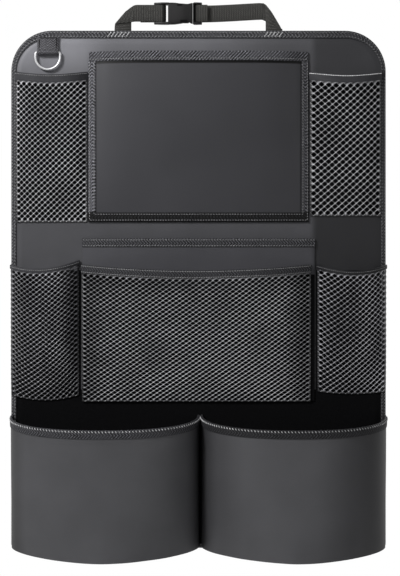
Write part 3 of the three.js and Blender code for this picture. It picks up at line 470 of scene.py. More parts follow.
# %% Net yarns
def yarn(name, color, zones=()):
    """Net yarn: its light colour and its tone are painted highlights on the knots and the strands that
    face the lamp, and painted shade in the loops' depth. The tone is the square of the painted light
    that its UV map holds."""
    made, tree, shader = material(name, color, 0.36, Specular_IOR_Level=0.5)
    places = add(tree, "TexCoord").outputs
    place = places["Object"]
    painted_shine = add(tree, "SeparateXYZ", Vector=places["UV"]).outputs["X"]
    twist, patch = noise(tree, place, 1400.0), noise(tree, place, 28.0)
    tinted(tree, shader, math_node(tree, "MULTIPLY", painted_shine, painted_shine),
           math_node(tree, "MULTIPLY_ADD", twist, 0.7, 0.65),
           math_node(tree, "MULTIPLY_ADD", patch, 1.0, 0.5), zone_tone(tree, place, zones))
    embossed(tree, shader, twist, 0.4, 0.0002)
    return made


# Painted shade on the nets: the upper right net is darker, away from the lamp, and the centre net
# at its sides and under its rim. The middle left net is darker at its sides and its bottom, and the
# right one in its crease.
net_yarn = yarn("net yarn", (0.94, 0.94, 0.99),
                [(0.12, FAR, -FAR, FAR, 0.01, 0.75), (-0.14, -0.112, -0.14, 0.03, 0.012, 0.6),
                 (0.105, 0.13, -0.14, 0.03, 0.014, 0.5), (-0.13, 0.13, 0.0, 0.03, 0.014, 0.65)])
middle_yarn = yarn("middle net yarn", (0.70, 0.70, 0.75),
                   [(-0.22, -0.188, -0.13, 0.03, 0.018, 0.6), (-0.15, -0.12, -0.13, 0.03, 0.010, 0.5),
                    (-0.22, -0.12, -0.13, -0.08, 0.02, 0.75), (0.15, 0.17, -0.07, 0.0, 0.02, 0.5)])

# %% Film, steel and lining
film, tree, shader = material("window film", (0.056, 0.056, 0.062), 0.38, Specular_IOR_Level=0.3)
place = object_place(tree)
FILM_SHADE = [
    (-FAR, FAR, 0.2520, 0.2562, 0.0009, 0.05),  # the shadow under the top tape
    (-0.120, -0.1142, 0, FAR, 0.0008, 0.4),  # the shadow beside the left tape
    (0.1135, 0.120, 0, FAR, 0.0008, 0.45),  # the shadow beside the right tape
    (0.03, FAR, 0, FAR, 0.10, 0.75),  # darker away from the lamp
]
tinted(tree, shader, math_node(tree, "MULTIPLY_ADD", noise(tree, place, 9.0), 0.5, 0.75),
       zone_tone(tree, place, FILM_SHADE))
embossed(tree, shader, noise(tree, place, 60.0), 0.10, 0.0006)

steel, tree, shader = material("polished steel", (0.92, 0.92, 0.94), 0.34, Metallic=0.55)
rub = noise(tree, object_place(tree), 420.0, 3.0)
worn = add(tree, "MapRange", Value=rub, To_Min=0.28, To_Max=0.40)
tree.links.new(worn.outputs[0], shader.inputs["Roughness"])

lining, tree, shader = material("lining cloth", (0.022, 0.022, 0.024), 0.85)
place = object_place(tree)
dots = add(tree, "TexVoronoi", Vector=place, Scale=420.0, Randomness=0.35).outputs["Distance"]
fibre = noise(tree, place, 260.0, 5.0)
tinted(tree, shader, math_node(tree, "MULTIPLY_ADD", fibre, 1.1, 0.45))
embossed(tree, shader, math_node(tree, "MULTIPLY_ADD", fibre, 0.6, dots), 0.7, 0.0004)
print("materials:", len(bpy.data.materials))

# %% [markdown]
# ## The CAD nodes that stay
# The lining and the hidden foam are right as they are, so both only get the lining's finish.

# %% Finishes on the kept nodes
for name in ("panel_lining", "panel_foam"):
    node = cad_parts[name]
    node.data.materials.clear()
    node.data.materials.append(lining)
    print(name, "->", lining.name)

# %% [markdown]
# ## The panel
# The face is one sheet, cut with round top corners and pressed thin under the edge tape. Its
# outline is a rounded rectangle, so each row of the grid is as wide as the outline at its height.
# The depth grows from the pressed edge to the padded field over a few millimetres.

# %% Panel sizes, in millimetres
PANEL_HALF, PANEL_TOP, PANEL_BOTTOM = 210.0, 290.0, -290.0
TOP_RADIUS, BOTTOM_RADIUS = 46.0, 5.0
EDGE_SIDE, EDGE_TOP = 5.7, 8.5
FACE_INSET, FACE_THICK, PRESSED_FRONT, FIELD_RISE = 1.25, 0.9, 4.15, 0.85
SEAM_X = PANEL_HALF - EDGE_SIDE - 0.3


def half_width(z, side, top):
    """Half the panel's width at height z, moved in: less one radius, plus the circle's chord."""
    rx, rz = TOP_RADIUS - side, TOP_RADIUS - top
    low = max(1.0, BOTTOM_RADIUS - side)
    up = np.clip((z - (PANEL_TOP - top - rz)) / rz, 0, 1)
    down = np.clip((PANEL_BOTTOM + side + low - z) / low, 0, 1)
    return PANEL_HALF - side - rx * (1 - np.sqrt(1 - up**2)) - low * (1 - np.sqrt(1 - down**2))


def panel_relief(x, z):
    """Slow swells and pulls of the leather over its foam, in millimetres."""
    slow = swell(x, z, 60, 3) * 0.30 + swell(x, z, 27, 4) * 0.10
    pulls = 0.10 * np.sin(x / 9 + 2 * swell(x, z, 45, 5)) * smooth(z, 262, 276)
    return slow + pulls


def panel_face_grid():
    """Rows thicken towards the rounded corners; the depth eases over the pressed border."""
    low, high = PANEL_BOTTOM + FACE_INSET, PANEL_TOP - FACE_INSET
    low_corner, high_corner, squeeze = 9, 45 - FACE_INSET, np.pi / 2 * 0.93
    z = np.concatenate([
        low + low_corner * (1 - np.cos(np.linspace(0, np.pi / 2, 7)))[:-1],
        np.linspace(low + low_corner, high - high_corner, 170)[:-1],
        high - high_corner + high_corner * np.sin(np.linspace(0, np.pi / 2, 34)),
    ])
    s = np.sin(np.linspace(-squeeze, squeeze, 150)) / np.sin(squeeze)
    s, z = np.meshgrid(s, z)
    x = s * half_width(z, FACE_INSET, FACE_INSET)
    pressed, rise = 0.6, 6
    inner = half_width(z, EDGE_SIDE + pressed, EDGE_TOP + pressed) - np.abs(x)
    field = smooth(inner, 0, rise) * smooth(PANEL_TOP - EDGE_TOP - pressed - z, 0, rise)
    depth = PRESSED_FRONT - FACE_THICK / 2 + field * (FIELD_RISE + panel_relief(x, z))
    return np.stack([x, -depth, z], -1)


# %% The panel's face
points, faces = shell(panel_face_grid(), FACE_THICK)
panel = piece("panel_leather", points, faces, panel_leather)
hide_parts("panel_face")


# Where the panel gets painted shade, in millimetres: behind the side nets and below the pockets' mouths.
UPPER_PAINTED_SHADE = {"inner": 126.5, "outer": 203, "left_low": 78, "right_low": 85, "top": 236}
MIDDLE_PAINTED_SHADE = {"inner": 132, "top": 21}
LOWER_PAINTED_SHADE_TOP = -113.5


def painted_shade_place(x, z):
    """Where the panel gets near-black painted shade: behind the side nets and from the bottom
    pockets' mouths down."""
    side, place = np.abs(x), UPPER_PAINTED_SHADE
    low = np.where(x < 0, place["left_low"], place["right_low"])
    upper = (side > place["inner"]) & (side < place["outer"]) & (z > low) & (z < place["top"])
    middle = (side > MIDDLE_PAINTED_SHADE["inner"]) & (z < MIDDLE_PAINTED_SHADE["top"])
    return upper | middle | (z < LOWER_PAINTED_SHADE_TOP)


back_with(panel, painted_shade_finish, painted_shade_place)


# %% [markdown]
# ## Thread
# A seam shows as a row of short raised stitches. One stitch is a small bead of four rings, full in
# its middle and narrow at its ends, and it is repeated along a path every two or three millimetres.


# %% Rows of stitches along a path
def along_path(path, *others, step):
    """Samples a path at equal steps of its length, with other arrays given along it."""
    length = lengths(path)
    at = np.arange(step * 0.6, length[-1] - step * 0.4, step)
    return [np.stack([np.interp(at, length, a[:, k]) for k in range(3)], -1)
            for a in (path, *others)]


def facing_front(path):
    """A path over the panel, with the panel's own normal at each of its points."""
    return path, np.tile([0.0, -1.0, 0.0], (len(path), 1))


def stitch_rows(name, rows, pitch=3.0, long=2.1, wide=0.85, slant=0.0, finish=None):
    """Beads along paths: each ring is a circle across the stitch, wide in its middle. rows are
    (path, normals) pairs, a bead's centre stands just proud of the cloth, and a slant in degrees
    turns each bead about the cloth's normal."""
    share = np.array([-1, -0.55, 0.55, 1])
    girth = np.array([0.25, 1, 1, 0.25])
    angle = np.arange(5) / 5 * 2 * np.pi
    points, faces, first = [], [], 0
    for path, off in rows:
        centre, off = along_path(np.asarray(path, float), np.asarray(off, float), step=pitch)
        if len(centre) < 2:
            continue
        forward = np.gradient(centre, axis=0)
        forward /= np.linalg.norm(forward, axis=1, keepdims=True)
        off /= np.linalg.norm(off, axis=1, keepdims=True)
        side = np.cross(forward, off)
        lean = math.radians(slant)
        forward, side = (forward * math.cos(lean) + side * math.sin(lean),
                         side * math.cos(lean) - forward * math.sin(lean))
        ring = (np.cos(angle)[None, None, :, None] * side[:, None, None, :] * wide / 2
                + np.sin(angle)[None, None, :, None] * off[:, None, None, :] * wide / 2)
        bead = (centre[:, None, None, :] + off[:, None, None, :] * wide * 0.25
                + forward[:, None, None, :] * (share * long / 2)[None, :, None, None]
                + ring * girth[None, :, None, None])
        index = first + np.arange(bead[..., 0].size).reshape(bead.shape[:3])
        here, there = index[:, :-1], index[:, 1:]
        quads = [here, there, np.roll(there, -1, 2), np.roll(here, -1, 2)]
        points.append(bead.reshape(-1, 3))
        caps = np.concatenate([index[:, 0], index[:, -1, ::-1]])
        faces += [np.stack(quads, -1).reshape(-1, 4), caps]
        first += index.size
    made = piece(name, np.concatenate(points), faces, finish or thread, crease=80)
    return made


# %% [markdown]
# ## The edge tape
# A woven tape is folded over the whole edge of the panel and sewn through with two rows. Its
# section is a flat U with a rounded fold, carried round the outline of the panel.


# %% The panel's outline and the tape round it
def outline(side, top, steps=26):
    """The rounded rectangle, moved in, counter-clockwise from the top right corner."""
    rx, rz = TOP_RADIUS - side, TOP_RADIUS - top
    low = max(1.0, BOTTOM_RADIUS - side)
    right, high, bottom = PANEL_HALF - side, PANEL_TOP - top, PANEL_BOTTOM + side
    turn = np.linspace(0, np.pi / 2, steps)
    straight = np.linspace(0, 1, 90)[1:-1, None]
    corners = []
    for x, z, a, b, start in [(right - rx, high - rz, rx, rz, 0), (rx - right, high - rz, rx, rz, 1),
                              (low - right, bottom + low, low, low, 2),
                              (right - low, bottom + low, low, low, 3)]:
        angle = turn + start * np.pi / 2
        corners.append(np.stack([x + a * np.cos(angle), z + b * np.sin(angle)], -1))
    runs = []
    for here, there in zip(corners, corners[1:] + corners[:1]):
        runs += [here, here[-1] * (1 - straight) + there[0] * straight]
    return np.concatenate(runs)


TAPE_THICK, TAPE_FRONT, SHEETS_BACK, SHEETS_FRONT = 1.1, 5.5, 1.1, 4.3
FOLD_CORNER, FOLD_DEEP, FOLD_HALF = 4, 1.7, 2.7
fold = np.linspace(0, np.pi, 9)
round_fold = [(FOLD_DEEP * (1 - math.sin(a)), FOLD_HALF - FOLD_HALF * math.cos(a)) for a in fold]
EDGE_SECTION = (
    [(1.0, 0.0), (0.5, 0.0)] + [(("mm", i), d) for i, d in round_fold]
    + [(0.5, TAPE_FRONT + 0.05), (0.9, TAPE_FRONT), (1.0, TAPE_FRONT - 0.15), (1.0, SHEETS_FRONT),
       (("mm", TAPE_THICK), SHEETS_FRONT), (("mm", TAPE_THICK), SHEETS_BACK), (1.0, SHEETS_BACK)]
)


def edge_loop(inset, depth, steps=26):
    """One corner of the tape's section carried round the panel; an inset is a share of the
    tape's width, or millimetres from the fold."""
    if isinstance(inset, tuple):
        flat = outline(inset[1], inset[1], steps)
    else:
        flat = outline(EDGE_SIDE * inset, EDGE_TOP * inset, steps)
    uneven = 0.12 * swell(flat[:, 0], flat[:, 1], 14, 8) if depth > SHEETS_FRONT else 0
    return np.stack([flat[:, 0], np.zeros(len(flat)) - (depth + uneven), flat[:, 1]], -1)


loops = np.stack([edge_loop(inset, depth) for inset, depth in EDGE_SECTION], 1)
points, faces = swept(loops, closed=True)
edge = piece("edge_tape", points, faces, edge_tape, uv=woven_map(loops[:, FOLD_CORNER], loops[40]))
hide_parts("edge_binding")
edge_rows = [facing_front(edge_loop(inset, TAPE_FRONT)) for inset in (0.28, 0.80)]
stitch_rows("edge_stitching", edge_rows, pitch=3.5)


# %% [markdown]
# ## Pocket walls
# A pocket wall is sewn along its sides and its bottom, and stands away from the panel between
# them. Its depth is that of its seam plus a slack that is spread by two shares: one across, none
# at the seams, and one up, from the bottom seam to the rim. The rim sags by a parabola.


# %% The surface of a pocket wall, and the tape over its rim
def pocket(left, right, bottom, rims, sag, slack, root, across, upward, base_sag=0.0):
    """x runs from left to right; z from the bottom less base_sag*(1 - (2u-1)^2) to a rim that
    joins its two end heights less sag*(1 - (2u-1)^2); the depth is root(u, v) +
    slack*across(u)*upward(v)."""
    def surface(u, v):
        away = 2 * u - 1
        rim = rims[0] + (rims[1] - rims[0]) * u - sag * (1 - away**2)
        low = bottom - base_sag * (1 - away**2)
        depth = root(u, v) + slack * across(u) * upward(v)
        return np.stack([left + (right - left) * u, -depth, low + (rim - low) * v], -1)
    return surface


def slack_across(u):
    """1 - |2u-1|^3: none at the seams, all in the middle."""
    return 1 - np.abs(2 * u - 1) ** 3


def slack_upward(v):
    """(1 - (1-v)^3) (1 - v^4/10): quickly out from the bottom, and held back a little at the rim."""
    return (1 - (1 - v) ** 3) * (1 - 0.1 * v**4)


def surface_normal(surface, u, v):
    """Unit normals of a surface at any u and v, from small steps across and up."""
    e = 1e-4
    across = surface(np.clip(u + e, 0, 1), v) - surface(np.clip(u - e, 0, 1), v)
    up = surface(u, np.clip(v + e, 0, 1)) - surface(u, np.clip(v - e, 0, 1))
    turn = np.cross(across, up)
    return turn / np.linalg.norm(turn, axis=-1, keepdims=True)


def flat_size(surface):
    """The cut size in metres: the mean length of a sheet's rows and of its columns."""
    grid = surface(*shares(60, 60))
    wide = np.linalg.norm(np.diff(grid, axis=1), axis=-1).sum(1).mean()
    tall = np.linalg.norm(np.diff(grid, axis=0), axis=-1).sum(0).mean()
    return wide * 0.001, tall * 0.001


def rim_tape(name, surface, us, height, sheet, width, finish, replaced, rows=(0.16, 0.84)):
    """A tape folded over a rim. Its section, as (down the sheet, off the sheet), is a U whose
    fold is half an ellipse. Returns the rows of stitches, at the given shares of its width."""
    clearance, thick = 0.2, 0.8
    grip = sheet / 2 + clearance
    outer = grip + thick
    turn = np.linspace(0, np.pi, 7)
    section = ([(width, grip), (width, outer - 0.2), (width * 0.7, outer), (width * 0.3, outer)]
               + [(0.4 - 1.4 * math.sin(a), outer * math.cos(a)) for a in turn]
               + [(width * 0.5, -outer), (width, -outer), (width, -grip), (-0.1, -grip), (-0.1, grip)])

    def at(u, down, off):
        """Points on the sheet's surface, carried on above its rim and moved off it."""
        v = 1 - np.maximum(0, down) / height
        up = surface(u, np.ones_like(u)) - surface(u, np.full_like(u, 0.999))
        up /= np.linalg.norm(up, axis=-1, keepdims=True)
        return (surface(u, v) + up * np.maximum(0, -down)[..., None]
                + surface_normal(surface, u, v) * np.asarray(off)[..., None])

    down, off = np.array(section).T
    u, down = np.meshgrid(us, down, indexing="ij")
    points = at(u, down, np.broadcast_to(off, u.shape))
    made = piece(name, *swept(points), finish, uv=woven_map(points[:, 5], points[3]))
    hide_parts(replaced)
    seams = []
    for share in rows:
        path = at(us, np.full_like(us, share * width), np.full_like(us, outer))
        seams.append((path, surface_normal(surface, us, np.full_like(us, 1 - share * width / height))))
    return seams


# %% [markdown]
# ## The tablet pocket
# A smoky film, through which the screen is touched, is held by tapes on all four sides, and its
# top tape is the pocket's mouth. The film is drawn tight at the frame and stands out a little
# in the middle, so only its borders catch the light.

# %% The film
TABLET_TOP, TABLET_BOTTOM = 265.7, 75.3
FILM_TOP, FILM_BOTTOM, FILM_WIDE, FILM_ROOT = 264.7, 76.3, 244.6, 6.55
FILM_TALL = FILM_TOP - FILM_BOTTOM
HELD, GRIP, FILM_THICK = 8 / 246.6, 9.6, 0.5


def film_upward(v):
    """A quarter sine from the bottom tape to the top one."""
    return np.sin(np.pi / 2 * np.clip((v - GRIP / FILM_TALL) / (1 - GRIP / FILM_TALL), 0, 1))


def film_across(u):
    """1 - (2s-1)^6 over the clear width s between the side tapes."""
    return 1 - (2 * np.clip((u - HELD) / (1 - 2 * HELD), 0, 1) - 1) ** 6


film_surface = pocket(-FILM_WIDE / 2, FILM_WIDE / 2, FILM_BOTTOM, (FILM_TOP, FILM_TOP), 0, 8.5,
                      lambda u, v: FILM_ROOT, film_across, film_upward)


def film_ripples(u, v):
    """Faint sags of the film, fading out under its tapes, and one upright fold at its right."""
    grid = film_surface(u, v)
    inside = smooth(u, 0.04, 0.12) * smooth(1 - u, 0.04, 0.12)
    inside = inside * smooth(v, 0.06, 0.15) * smooth(1 - v, 0.06, 0.12)
    fold = 0.8 * np.exp(-(((grid[..., 0] - 110) / 1.7) ** 2)) * smooth(grid[..., 2], 110, 200)
    grid[..., 1] -= inside * 0.25 * swell(grid[..., 0], grid[..., 2], 70, 11) + fold
    return grid


window = piece("window_film", *shell(film_ripples(*shares(90, 70)), FILM_THICK), film)
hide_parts("tablet_window")

# %% The tape frame, mitred at its lower corners, and the tape over the top
SIDE_TAPE, CROSS_TAPE, FRAME_HALF = 8.0, 10.6, 123.3
FRAME_BACK, FRAME_FRONT, FILM_BACK, FILM_FRONT = 5.3, 7.8, 6.1, 7.0


def frame_section(steps):
    """The U of the frame tape as (share of its width or millimetres, depth)."""
    turn = np.linspace(0, np.pi, steps)
    middle, half = (FRAME_BACK + FRAME_FRONT) / 2, (FRAME_FRONT - FRAME_BACK) / 2
    rounded = [(1.1 - 1.1 * math.sin(a), middle - half * math.cos(a)) for a in turn]
    return ([(1.0, FRAME_BACK)] + [(("mm", i), d) for i, d in rounded]
            + [(0.5, FRAME_FRONT + 0.12), (1.0, FRAME_FRONT - 0.1), (1.0, FILM_FRONT),
               (("mm", 0.8), FILM_FRONT), (("mm", 0.8), FILM_BACK), (1.0, FILM_BACK)])


def frame_path(inset, count):
    """Down the left side, along the bottom and up the right side, with sharp corners."""
    side = inset[1] if isinstance(inset, tuple) else inset * SIDE_TAPE
    cross = inset[1] if isinstance(inset, tuple) else inset * CROSS_TAPE
    x, low, high = FRAME_HALF - side, TABLET_BOTTOM + cross, TABLET_TOP - CROSS_TAPE - 0.3
    t = np.linspace(0, 1, count)
    left = np.stack([np.full(count, -x), high + (low - high) * t], -1)
    base = np.stack([-x + 2 * x * t, np.full(count, low)], -1)
    return np.concatenate([left, base[1:], left[::-1][1:] * [-1, 1]])


loops = np.stack([np.insert(frame_path(inset, 40), 1, -depth, axis=1)
                  for inset, depth in frame_section(7)], 1)
frame_piece = piece("tablet_frame_tape", *swept(loops), frame_tape,
                    uv=woven_map(loops[:, 5], loops[5]))
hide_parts("tablet_frame_binding")
tablet_rows = [facing_front(np.insert(frame_path(share, 60), 1, -FRAME_FRONT - 0.05, axis=1))
               for share in (0.2, 0.82)]
us = np.concatenate([[0], np.linspace(HELD, 1 - HELD, 60), [1]])
seams = rim_tape("tablet_top_tape", film_surface, us, FILM_TALL, FILM_THICK, GRIP, top_tape_cloth,
                 "tablet_top_binding", rows=(0.79,))
stitch_rows("tablet_stitching", tablet_rows + seams)


# %% [markdown]
# ## The nets
# The net is warp-knitted in diamonds: fine strands that run on both slants, with a knot where
# they meet and a round hole between them. Each hole is made from rings of eight points: one on
# the ridge of the strands round it, raised most at the four knots, one part of the way in, and
# one at the hole. Half diamonds at the borders are left closed, as a hem is.


# %% A sheet of diamonds with round holes
# Painted light held in the net's UV map: highlights on knots and rising strands, shade at holes and
# back.
HEM_SHINE, KNOT_SHINE, RISING_SHINE, FALLING_SHINE, HOLE_SHINE = 0.2, 1.05, 0.76, 0.22, 0.15
ROUND_THE_HOLE = [0.78, 0.22, 0.78, 0.40]
BACK_SHINE, TOWARDS_HOLE = 0.3, 0.4


def net_arrays(surface, columns, rows, band, hole=0.74, waist=0.76, ridge=0.38, knot=0.75):
    """Quarter-cell nodes (i, j) stand at u = i/(4 columns), v = band*j/(4 rows). A diamond's
    centre has i and j even with (i+j)/2 even, and its ridge passes through i+-2 and j+-2. The
    last array is each point's painted light: a full painted highlight at a knot, less on the strands
    that rise to the right towards the lamp, little on the others and at the hem, and painted shade
    at the holes and at the back."""
    wide, tall = 4 * columns, 4 * rows
    ring = np.array([(2, 0), (1, 1), (0, 2), (-1, 1), (-2, 0), (-1, -1), (0, -2), (1, -1)])
    i, j = np.meshgrid(np.arange(0, wide + 1, 2), np.arange(0, tall + 1, 2))
    own = (i + j) % 4 == 0
    centres = np.stack([i[own], j[own]], -1)
    inner = (centres > 0).all(1) & (centres[:, 0] < wide) & (centres[:, 1] < tall)
    rim, whole = centres[~inner], centres[inner]

    gi, gj = np.meshgrid(np.arange(wide + 1), np.arange(tall + 2))
    gu, gv = gi / wide, np.where(gj > tall, 1.0, gj / tall * band)
    is_knot = (gi % 2 == 0) & (gj % 2 == 0) & ((gi + gj) % 4 == 2) & (gj <= tall)
    rising = (gi % 2 == 1) & (gj % 2 == 1) & ((gi - gj) % 4 == 2)
    raised = np.where(is_knot, knot, np.where(rising, ridge + 0.2, ridge - 0.1))
    hem = (gi <= 1) | (gi >= wide - 1) | (gj <= 1)
    strands = np.where(is_knot, KNOT_SHINE, np.where(rising, RISING_SHINE, FALLING_SHINE))
    painted_shine = np.where(hem, HEM_SHINE, strands).ravel()
    middle, off = surface(gu, gv), surface_normal(surface, gu, gv)
    lattice = [middle + off * raised[..., None], middle - off * ridge]
    count = gi.size
    index = np.arange(count).reshape(gi.shape)

    shape = np.where(np.abs(ring).max(1) == 2, hole, waist)[:, None]
    aims = ring * shape
    hu = (whole[:, None, 0] + aims[None, :, 0]) / wide
    hv = (whole[:, None, 1] + aims[None, :, 1]) / tall * band
    ou = (whole[:, None, 0] + ring[None, :, 0]) / wide
    ov = (whole[:, None, 1] + ring[None, :, 1]) / tall * band
    mu = ou * (1 - TOWARDS_HOLE) + hu * TOWARDS_HOLE
    mv = ov * (1 - TOWARDS_HOLE) + hv * TOWARDS_HOLE
    hole_points = surface(hu, hv)
    soft, turned = surface(mu, mv), surface_normal(surface, mu, mv)
    step = len(whole) * 8
    mids = [soft + turned * ridge * 0.8, soft - turned * ridge * 0.8]
    points = np.concatenate([a.reshape(-1, 3) for a in (*lattice, *mids, hole_points)])
    near = np.tile(ROUND_THE_HOLE, 2 * len(whole))
    painted_shine = np.concatenate([painted_shine, painted_shine * BACK_SHINE, near, near * BACK_SHINE,
                            np.full_like(near, HOLE_SHINE)])

    outer = index[whole[:, None, 1] + ring[None, :, 1], whole[:, None, 0] + ring[None, :, 0]]
    mid = 2 * count + np.arange(step).reshape(-1, 8)
    gap = 2 * count + 2 * step + np.arange(step).reshape(-1, 8)

    def between(a, b):
        """Quads between two rings of every hole."""
        return np.stack([a, np.roll(a, -1, 1), np.roll(b, -1, 1), b], -1).reshape(-1, 4)

    faces = [between(outer, mid), between(mid, gap),
             between(outer + count, mid + step)[:, ::-1], between(mid + step, gap)[:, ::-1]]
    here = rim[:, None, :] + ring[None]
    there = rim[:, None, :] + np.roll(ring, -1, 0)[None]
    limit = np.array([wide, tall])
    kept = ((here >= 0) & (here <= limit) & (there >= 0) & (there <= limit)).all(-1)
    fan = np.stack([np.broadcast_to(index[rim[:, 1], rim[:, 0]][:, None], kept.shape)[kept],
                    index[here[kept][:, 1], here[kept][:, 0]],
                    index[there[kept][:, 1], there[kept][:, 0]]], -1)
    top = index[tall, ::2]
    high = index[tall + 1, ::2]
    strip = np.stack([top[:-1], top[1:], high[1:], high[:-1]], -1)
    border = np.concatenate([index[0, ::2], index[2:tall + 1:2, -1], high[::-1],
                             index[tall:0:-2, 0]])
    after = np.roll(border, -1)
    walls = np.stack([after, border, border + count, after + count], -1)
    faces += [fan, fan[:, ::-1] + count, strip, strip[:, ::-1] + count, walls]
    used, new = np.unique(np.concatenate([f.ravel() for f in faces]), return_inverse=True)
    split = np.cumsum([f.size for f in faces])[:-1]
    faces = [part.reshape(f.shape) for part, f in zip(np.split(new, split), faces)]
    return points[used], faces, len(whole), np.stack([painted_shine[used], painted_shine[used] * 0], -1)


NET_THICK, RIM_WIDE, THIN_RIM_WIDE = 1.4, 8.5, 4.0


def net_pocket(name, surface, height, tape_width, columns, rows, finish, tape_finish, nodes,
               hole=0.74, waist=0.76, seam_rows=(0.16, 0.84)):
    """A net and the tape over its rim. It also works out the cut size and counts the holes, but uses
    neither.
    """
    band = 1 - tape_width / height
    points, faces, holes, painted_shine = net_arrays(surface, columns, rows, band, hole, waist)
    made = piece(name, points, faces, finish, uv=painted_shine, crease=75)
    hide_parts(nodes[0])
    wide, tall = flat_size(surface)
    us = np.linspace(0, 1, 4 * columns + 1)
    return rim_tape(name.replace("net", "rim_tape"), surface, us, height, NET_THICK, tape_width,
                    tape_finish, nodes[1], rows=seam_rows)


def seam_root(low, rim, band, spread=lambda u: 0.0):
    """The depth of a sewn sheet: close to its carrier at its bottom, and lifted from low to rim
    on its way up to its tape."""
    return lambda u, v: low + (rim - low) * np.clip(v / band, 0, 1) + spread(u)


# %% The upper nets
UPPER_RIM, UPPER_INNER = 242.5, 124.8
for side, name, height, columns, rows in [(-1, "upper_left_net", 167.0, 12, 25),
                                          (1, "upper_right_net", 160.5, 10, 21)]:
    ends = sorted([side * SEAM_X, side * UPPER_INNER])
    base = pocket(*ends, UPPER_RIM - height, (UPPER_RIM, UPPER_RIM), 5, 15,
                  seam_root(6.0, 7.0, 1 - RIM_WIDE / height), slack_across, slack_upward)

    def surface(u, v, base=base, side=side):
        """The pocket wall with soft pulls towards its seams."""
        grid = base(u, v)
        loose = slack_across(u) * smooth(v, 0, 0.2) * smooth(1 - v, 0, 0.12)
        grid[..., 1] -= loose * 1.6 * swell(grid[..., 0], grid[..., 2], 34, 20 + side)
        return grid

    seams = net_pocket(name + "_cloth", surface, height, RIM_WIDE, columns, rows, net_yarn,
                       plain_tape, [name, name.replace("net", "rim_binding")], seam_rows=(0.12,))
    stitch_rows(name + "_stitching", seams, pitch=2.6, long=2.4, wide=0.6 if side < 0 else 0.9,
                finish=thread if side < 0 else rim_thread)

# %% [markdown]
# ## The document pocket and the centre net
# The document pocket is a flat leather sheet with a taped rim, and the centre net is sewn on in
# front of it. What shows through the net is near-black painted shade on the sheet's lower part.

# %% The document pocket
DOC_HALF, DOC_RIM, DOC_BOTTOM, DOC_THICK, DOC_PAINTED_SHADE_TOP = 129.75, 56.0, -125.0, 1.0, 17
DOC_TALL = DOC_RIM - DOC_BOTTOM
doc_surface = pocket(-DOC_HALF, DOC_HALF, DOC_BOTTOM, (DOC_RIM, DOC_RIM), 0, 9,
                     seam_root(5.8, 6.8, 1 - RIM_WIDE / DOC_TALL), slack_across, lambda v: v)
u, v = shares(90, 70)
middle = doc_surface(u, v)
loose = smooth(1 - v, 0.05, 0.1) * slack_across(u)
middle[..., 1] -= 0.25 * swell(middle[..., 0], middle[..., 2], 48, 31) * loose
document = piece("document_sheet", *shell(middle, DOC_THICK), document_leather)
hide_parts("document_pocket")
flat_size(doc_surface)
# The sheet's lower part, seen through the centre net, gets the same painted shade.
back_with(document, painted_shade_finish, lambda x, z: z < DOC_PAINTED_SHADE_TOP)
seams = rim_tape("document_rim_tape", doc_surface, np.linspace(0, 1, 80), DOC_TALL, DOC_THICK,
                 RIM_WIDE, rim_tape_cloth, "document_rim_binding", rows=(0.1, 0.86))
stitch_rows("document_stitching", seams)

# %% The centre net
CENTRE_LEFT, CENTRE_RIGHT, CENTRE_RIM = -130.25, 125.25, 27.0
CENTRE_TALL = CENTRE_RIM - DOC_BOTTOM
centre_base = pocket(CENTRE_LEFT, CENTRE_RIGHT, DOC_BOTTOM, (CENTRE_RIM, CENTRE_RIM), 6.5, 28,
                     seam_root(7.3, 9.2, 1 - RIM_WIDE / CENTRE_TALL), slack_across, slack_upward)


def centre_surface(u, v):
    """The wall with broad soft waves, stronger towards its rim."""
    grid = centre_base(u, v)
    loose = slack_across(u) * smooth(v, 0, 0.2) * smooth(1 - v, 0, 0.1)
    grid[..., 1] -= loose * 1.8 * swell(grid[..., 0], grid[..., 2], 58, 41)
    return grid


seams = net_pocket("centre_net_cloth", centre_surface, CENTRE_TALL, RIM_WIDE, 35, 28, net_yarn,
                   rim_tape_cloth, ["centre_net", "centre_rim_binding"], seam_rows=(0.08, 0.86))
stitch_rows("centre_net_stitching", seams, pitch=2.6)

# %% The middle nets, which are drawn over the panel's edge tape on their outer side
MIDDLE_OUTER, MIDDLE_INNER = 209.3, {-1: 133.85, 1: 133.35}


def outer_lift(side):
    """Raises the outer border of a net by 0.9 mm, over the edge tape."""
    return lambda u: 0.9 * smooth(u if side > 0 else 1 - u, 0.86, 0.95)


middle_rows = []
for side, name, height, rims, base_sag, columns, rows in [
    (-1, "middle_left_net", 150.0, (27.0, 32.0), 6.0, 11, 27),
    (1, "middle_right_net", 141.0, (27.0, 27.0), 3.0, 11, 23),
]:
    ends = sorted([side * MIDDLE_OUTER, side * MIDDLE_INNER[side]])
    root = seam_root(6.0, 7.0, 1 - THIN_RIM_WIDE / height, outer_lift(side))
    base = pocket(*ends, max(rims) - height, rims, 7, 23, root, slack_across, slack_upward, base_sag)

    def surface(u, v, base=base, side=side):
        """The wall with one upright crease down its middle and soft pulls."""
        grid = base(u, v)
        loose = slack_across(u) * smooth(v, 0, 0.2) * smooth(1 - v, 0, 0.1)
        crease = 2.2 * np.exp(-(((u - 0.52 + 0.06 * v) / 0.05) ** 2)) * smooth(v, 0.15, 0.5)
        hills = 2.0 * swell(grid[..., 0], grid[..., 2], 30, 50 + side)
        grid[..., 1] -= loose * (hills - crease)
        return grid

    middle_rows += net_pocket(name + "_cloth", surface, height, THIN_RIM_WIDE, columns, rows,
                              middle_yarn, plain_tape, [name, name.replace("net", "rim_binding")],
                              seam_rows=(0.3,))
stitch_rows("middle_net_stitching", middle_rows, pitch=2.4, long=2.1, wide=0.6)

# %% [markdown]
# ## The bottom pockets
# Each is a leather wall that leaves the panel squarely and rounds out to the front, half a
# superellipse across: x = -half |cos a|^(2/n) and depth = slack (sin a)^(2/n). The exponent n
# rises from 1.6 at the floor, where the corners are pulled in, to 2.3 at the full rim. The floor
# hangs just inside the wall. Real leather buckles a little between its seams, so the
# wall gets soft upright waves.

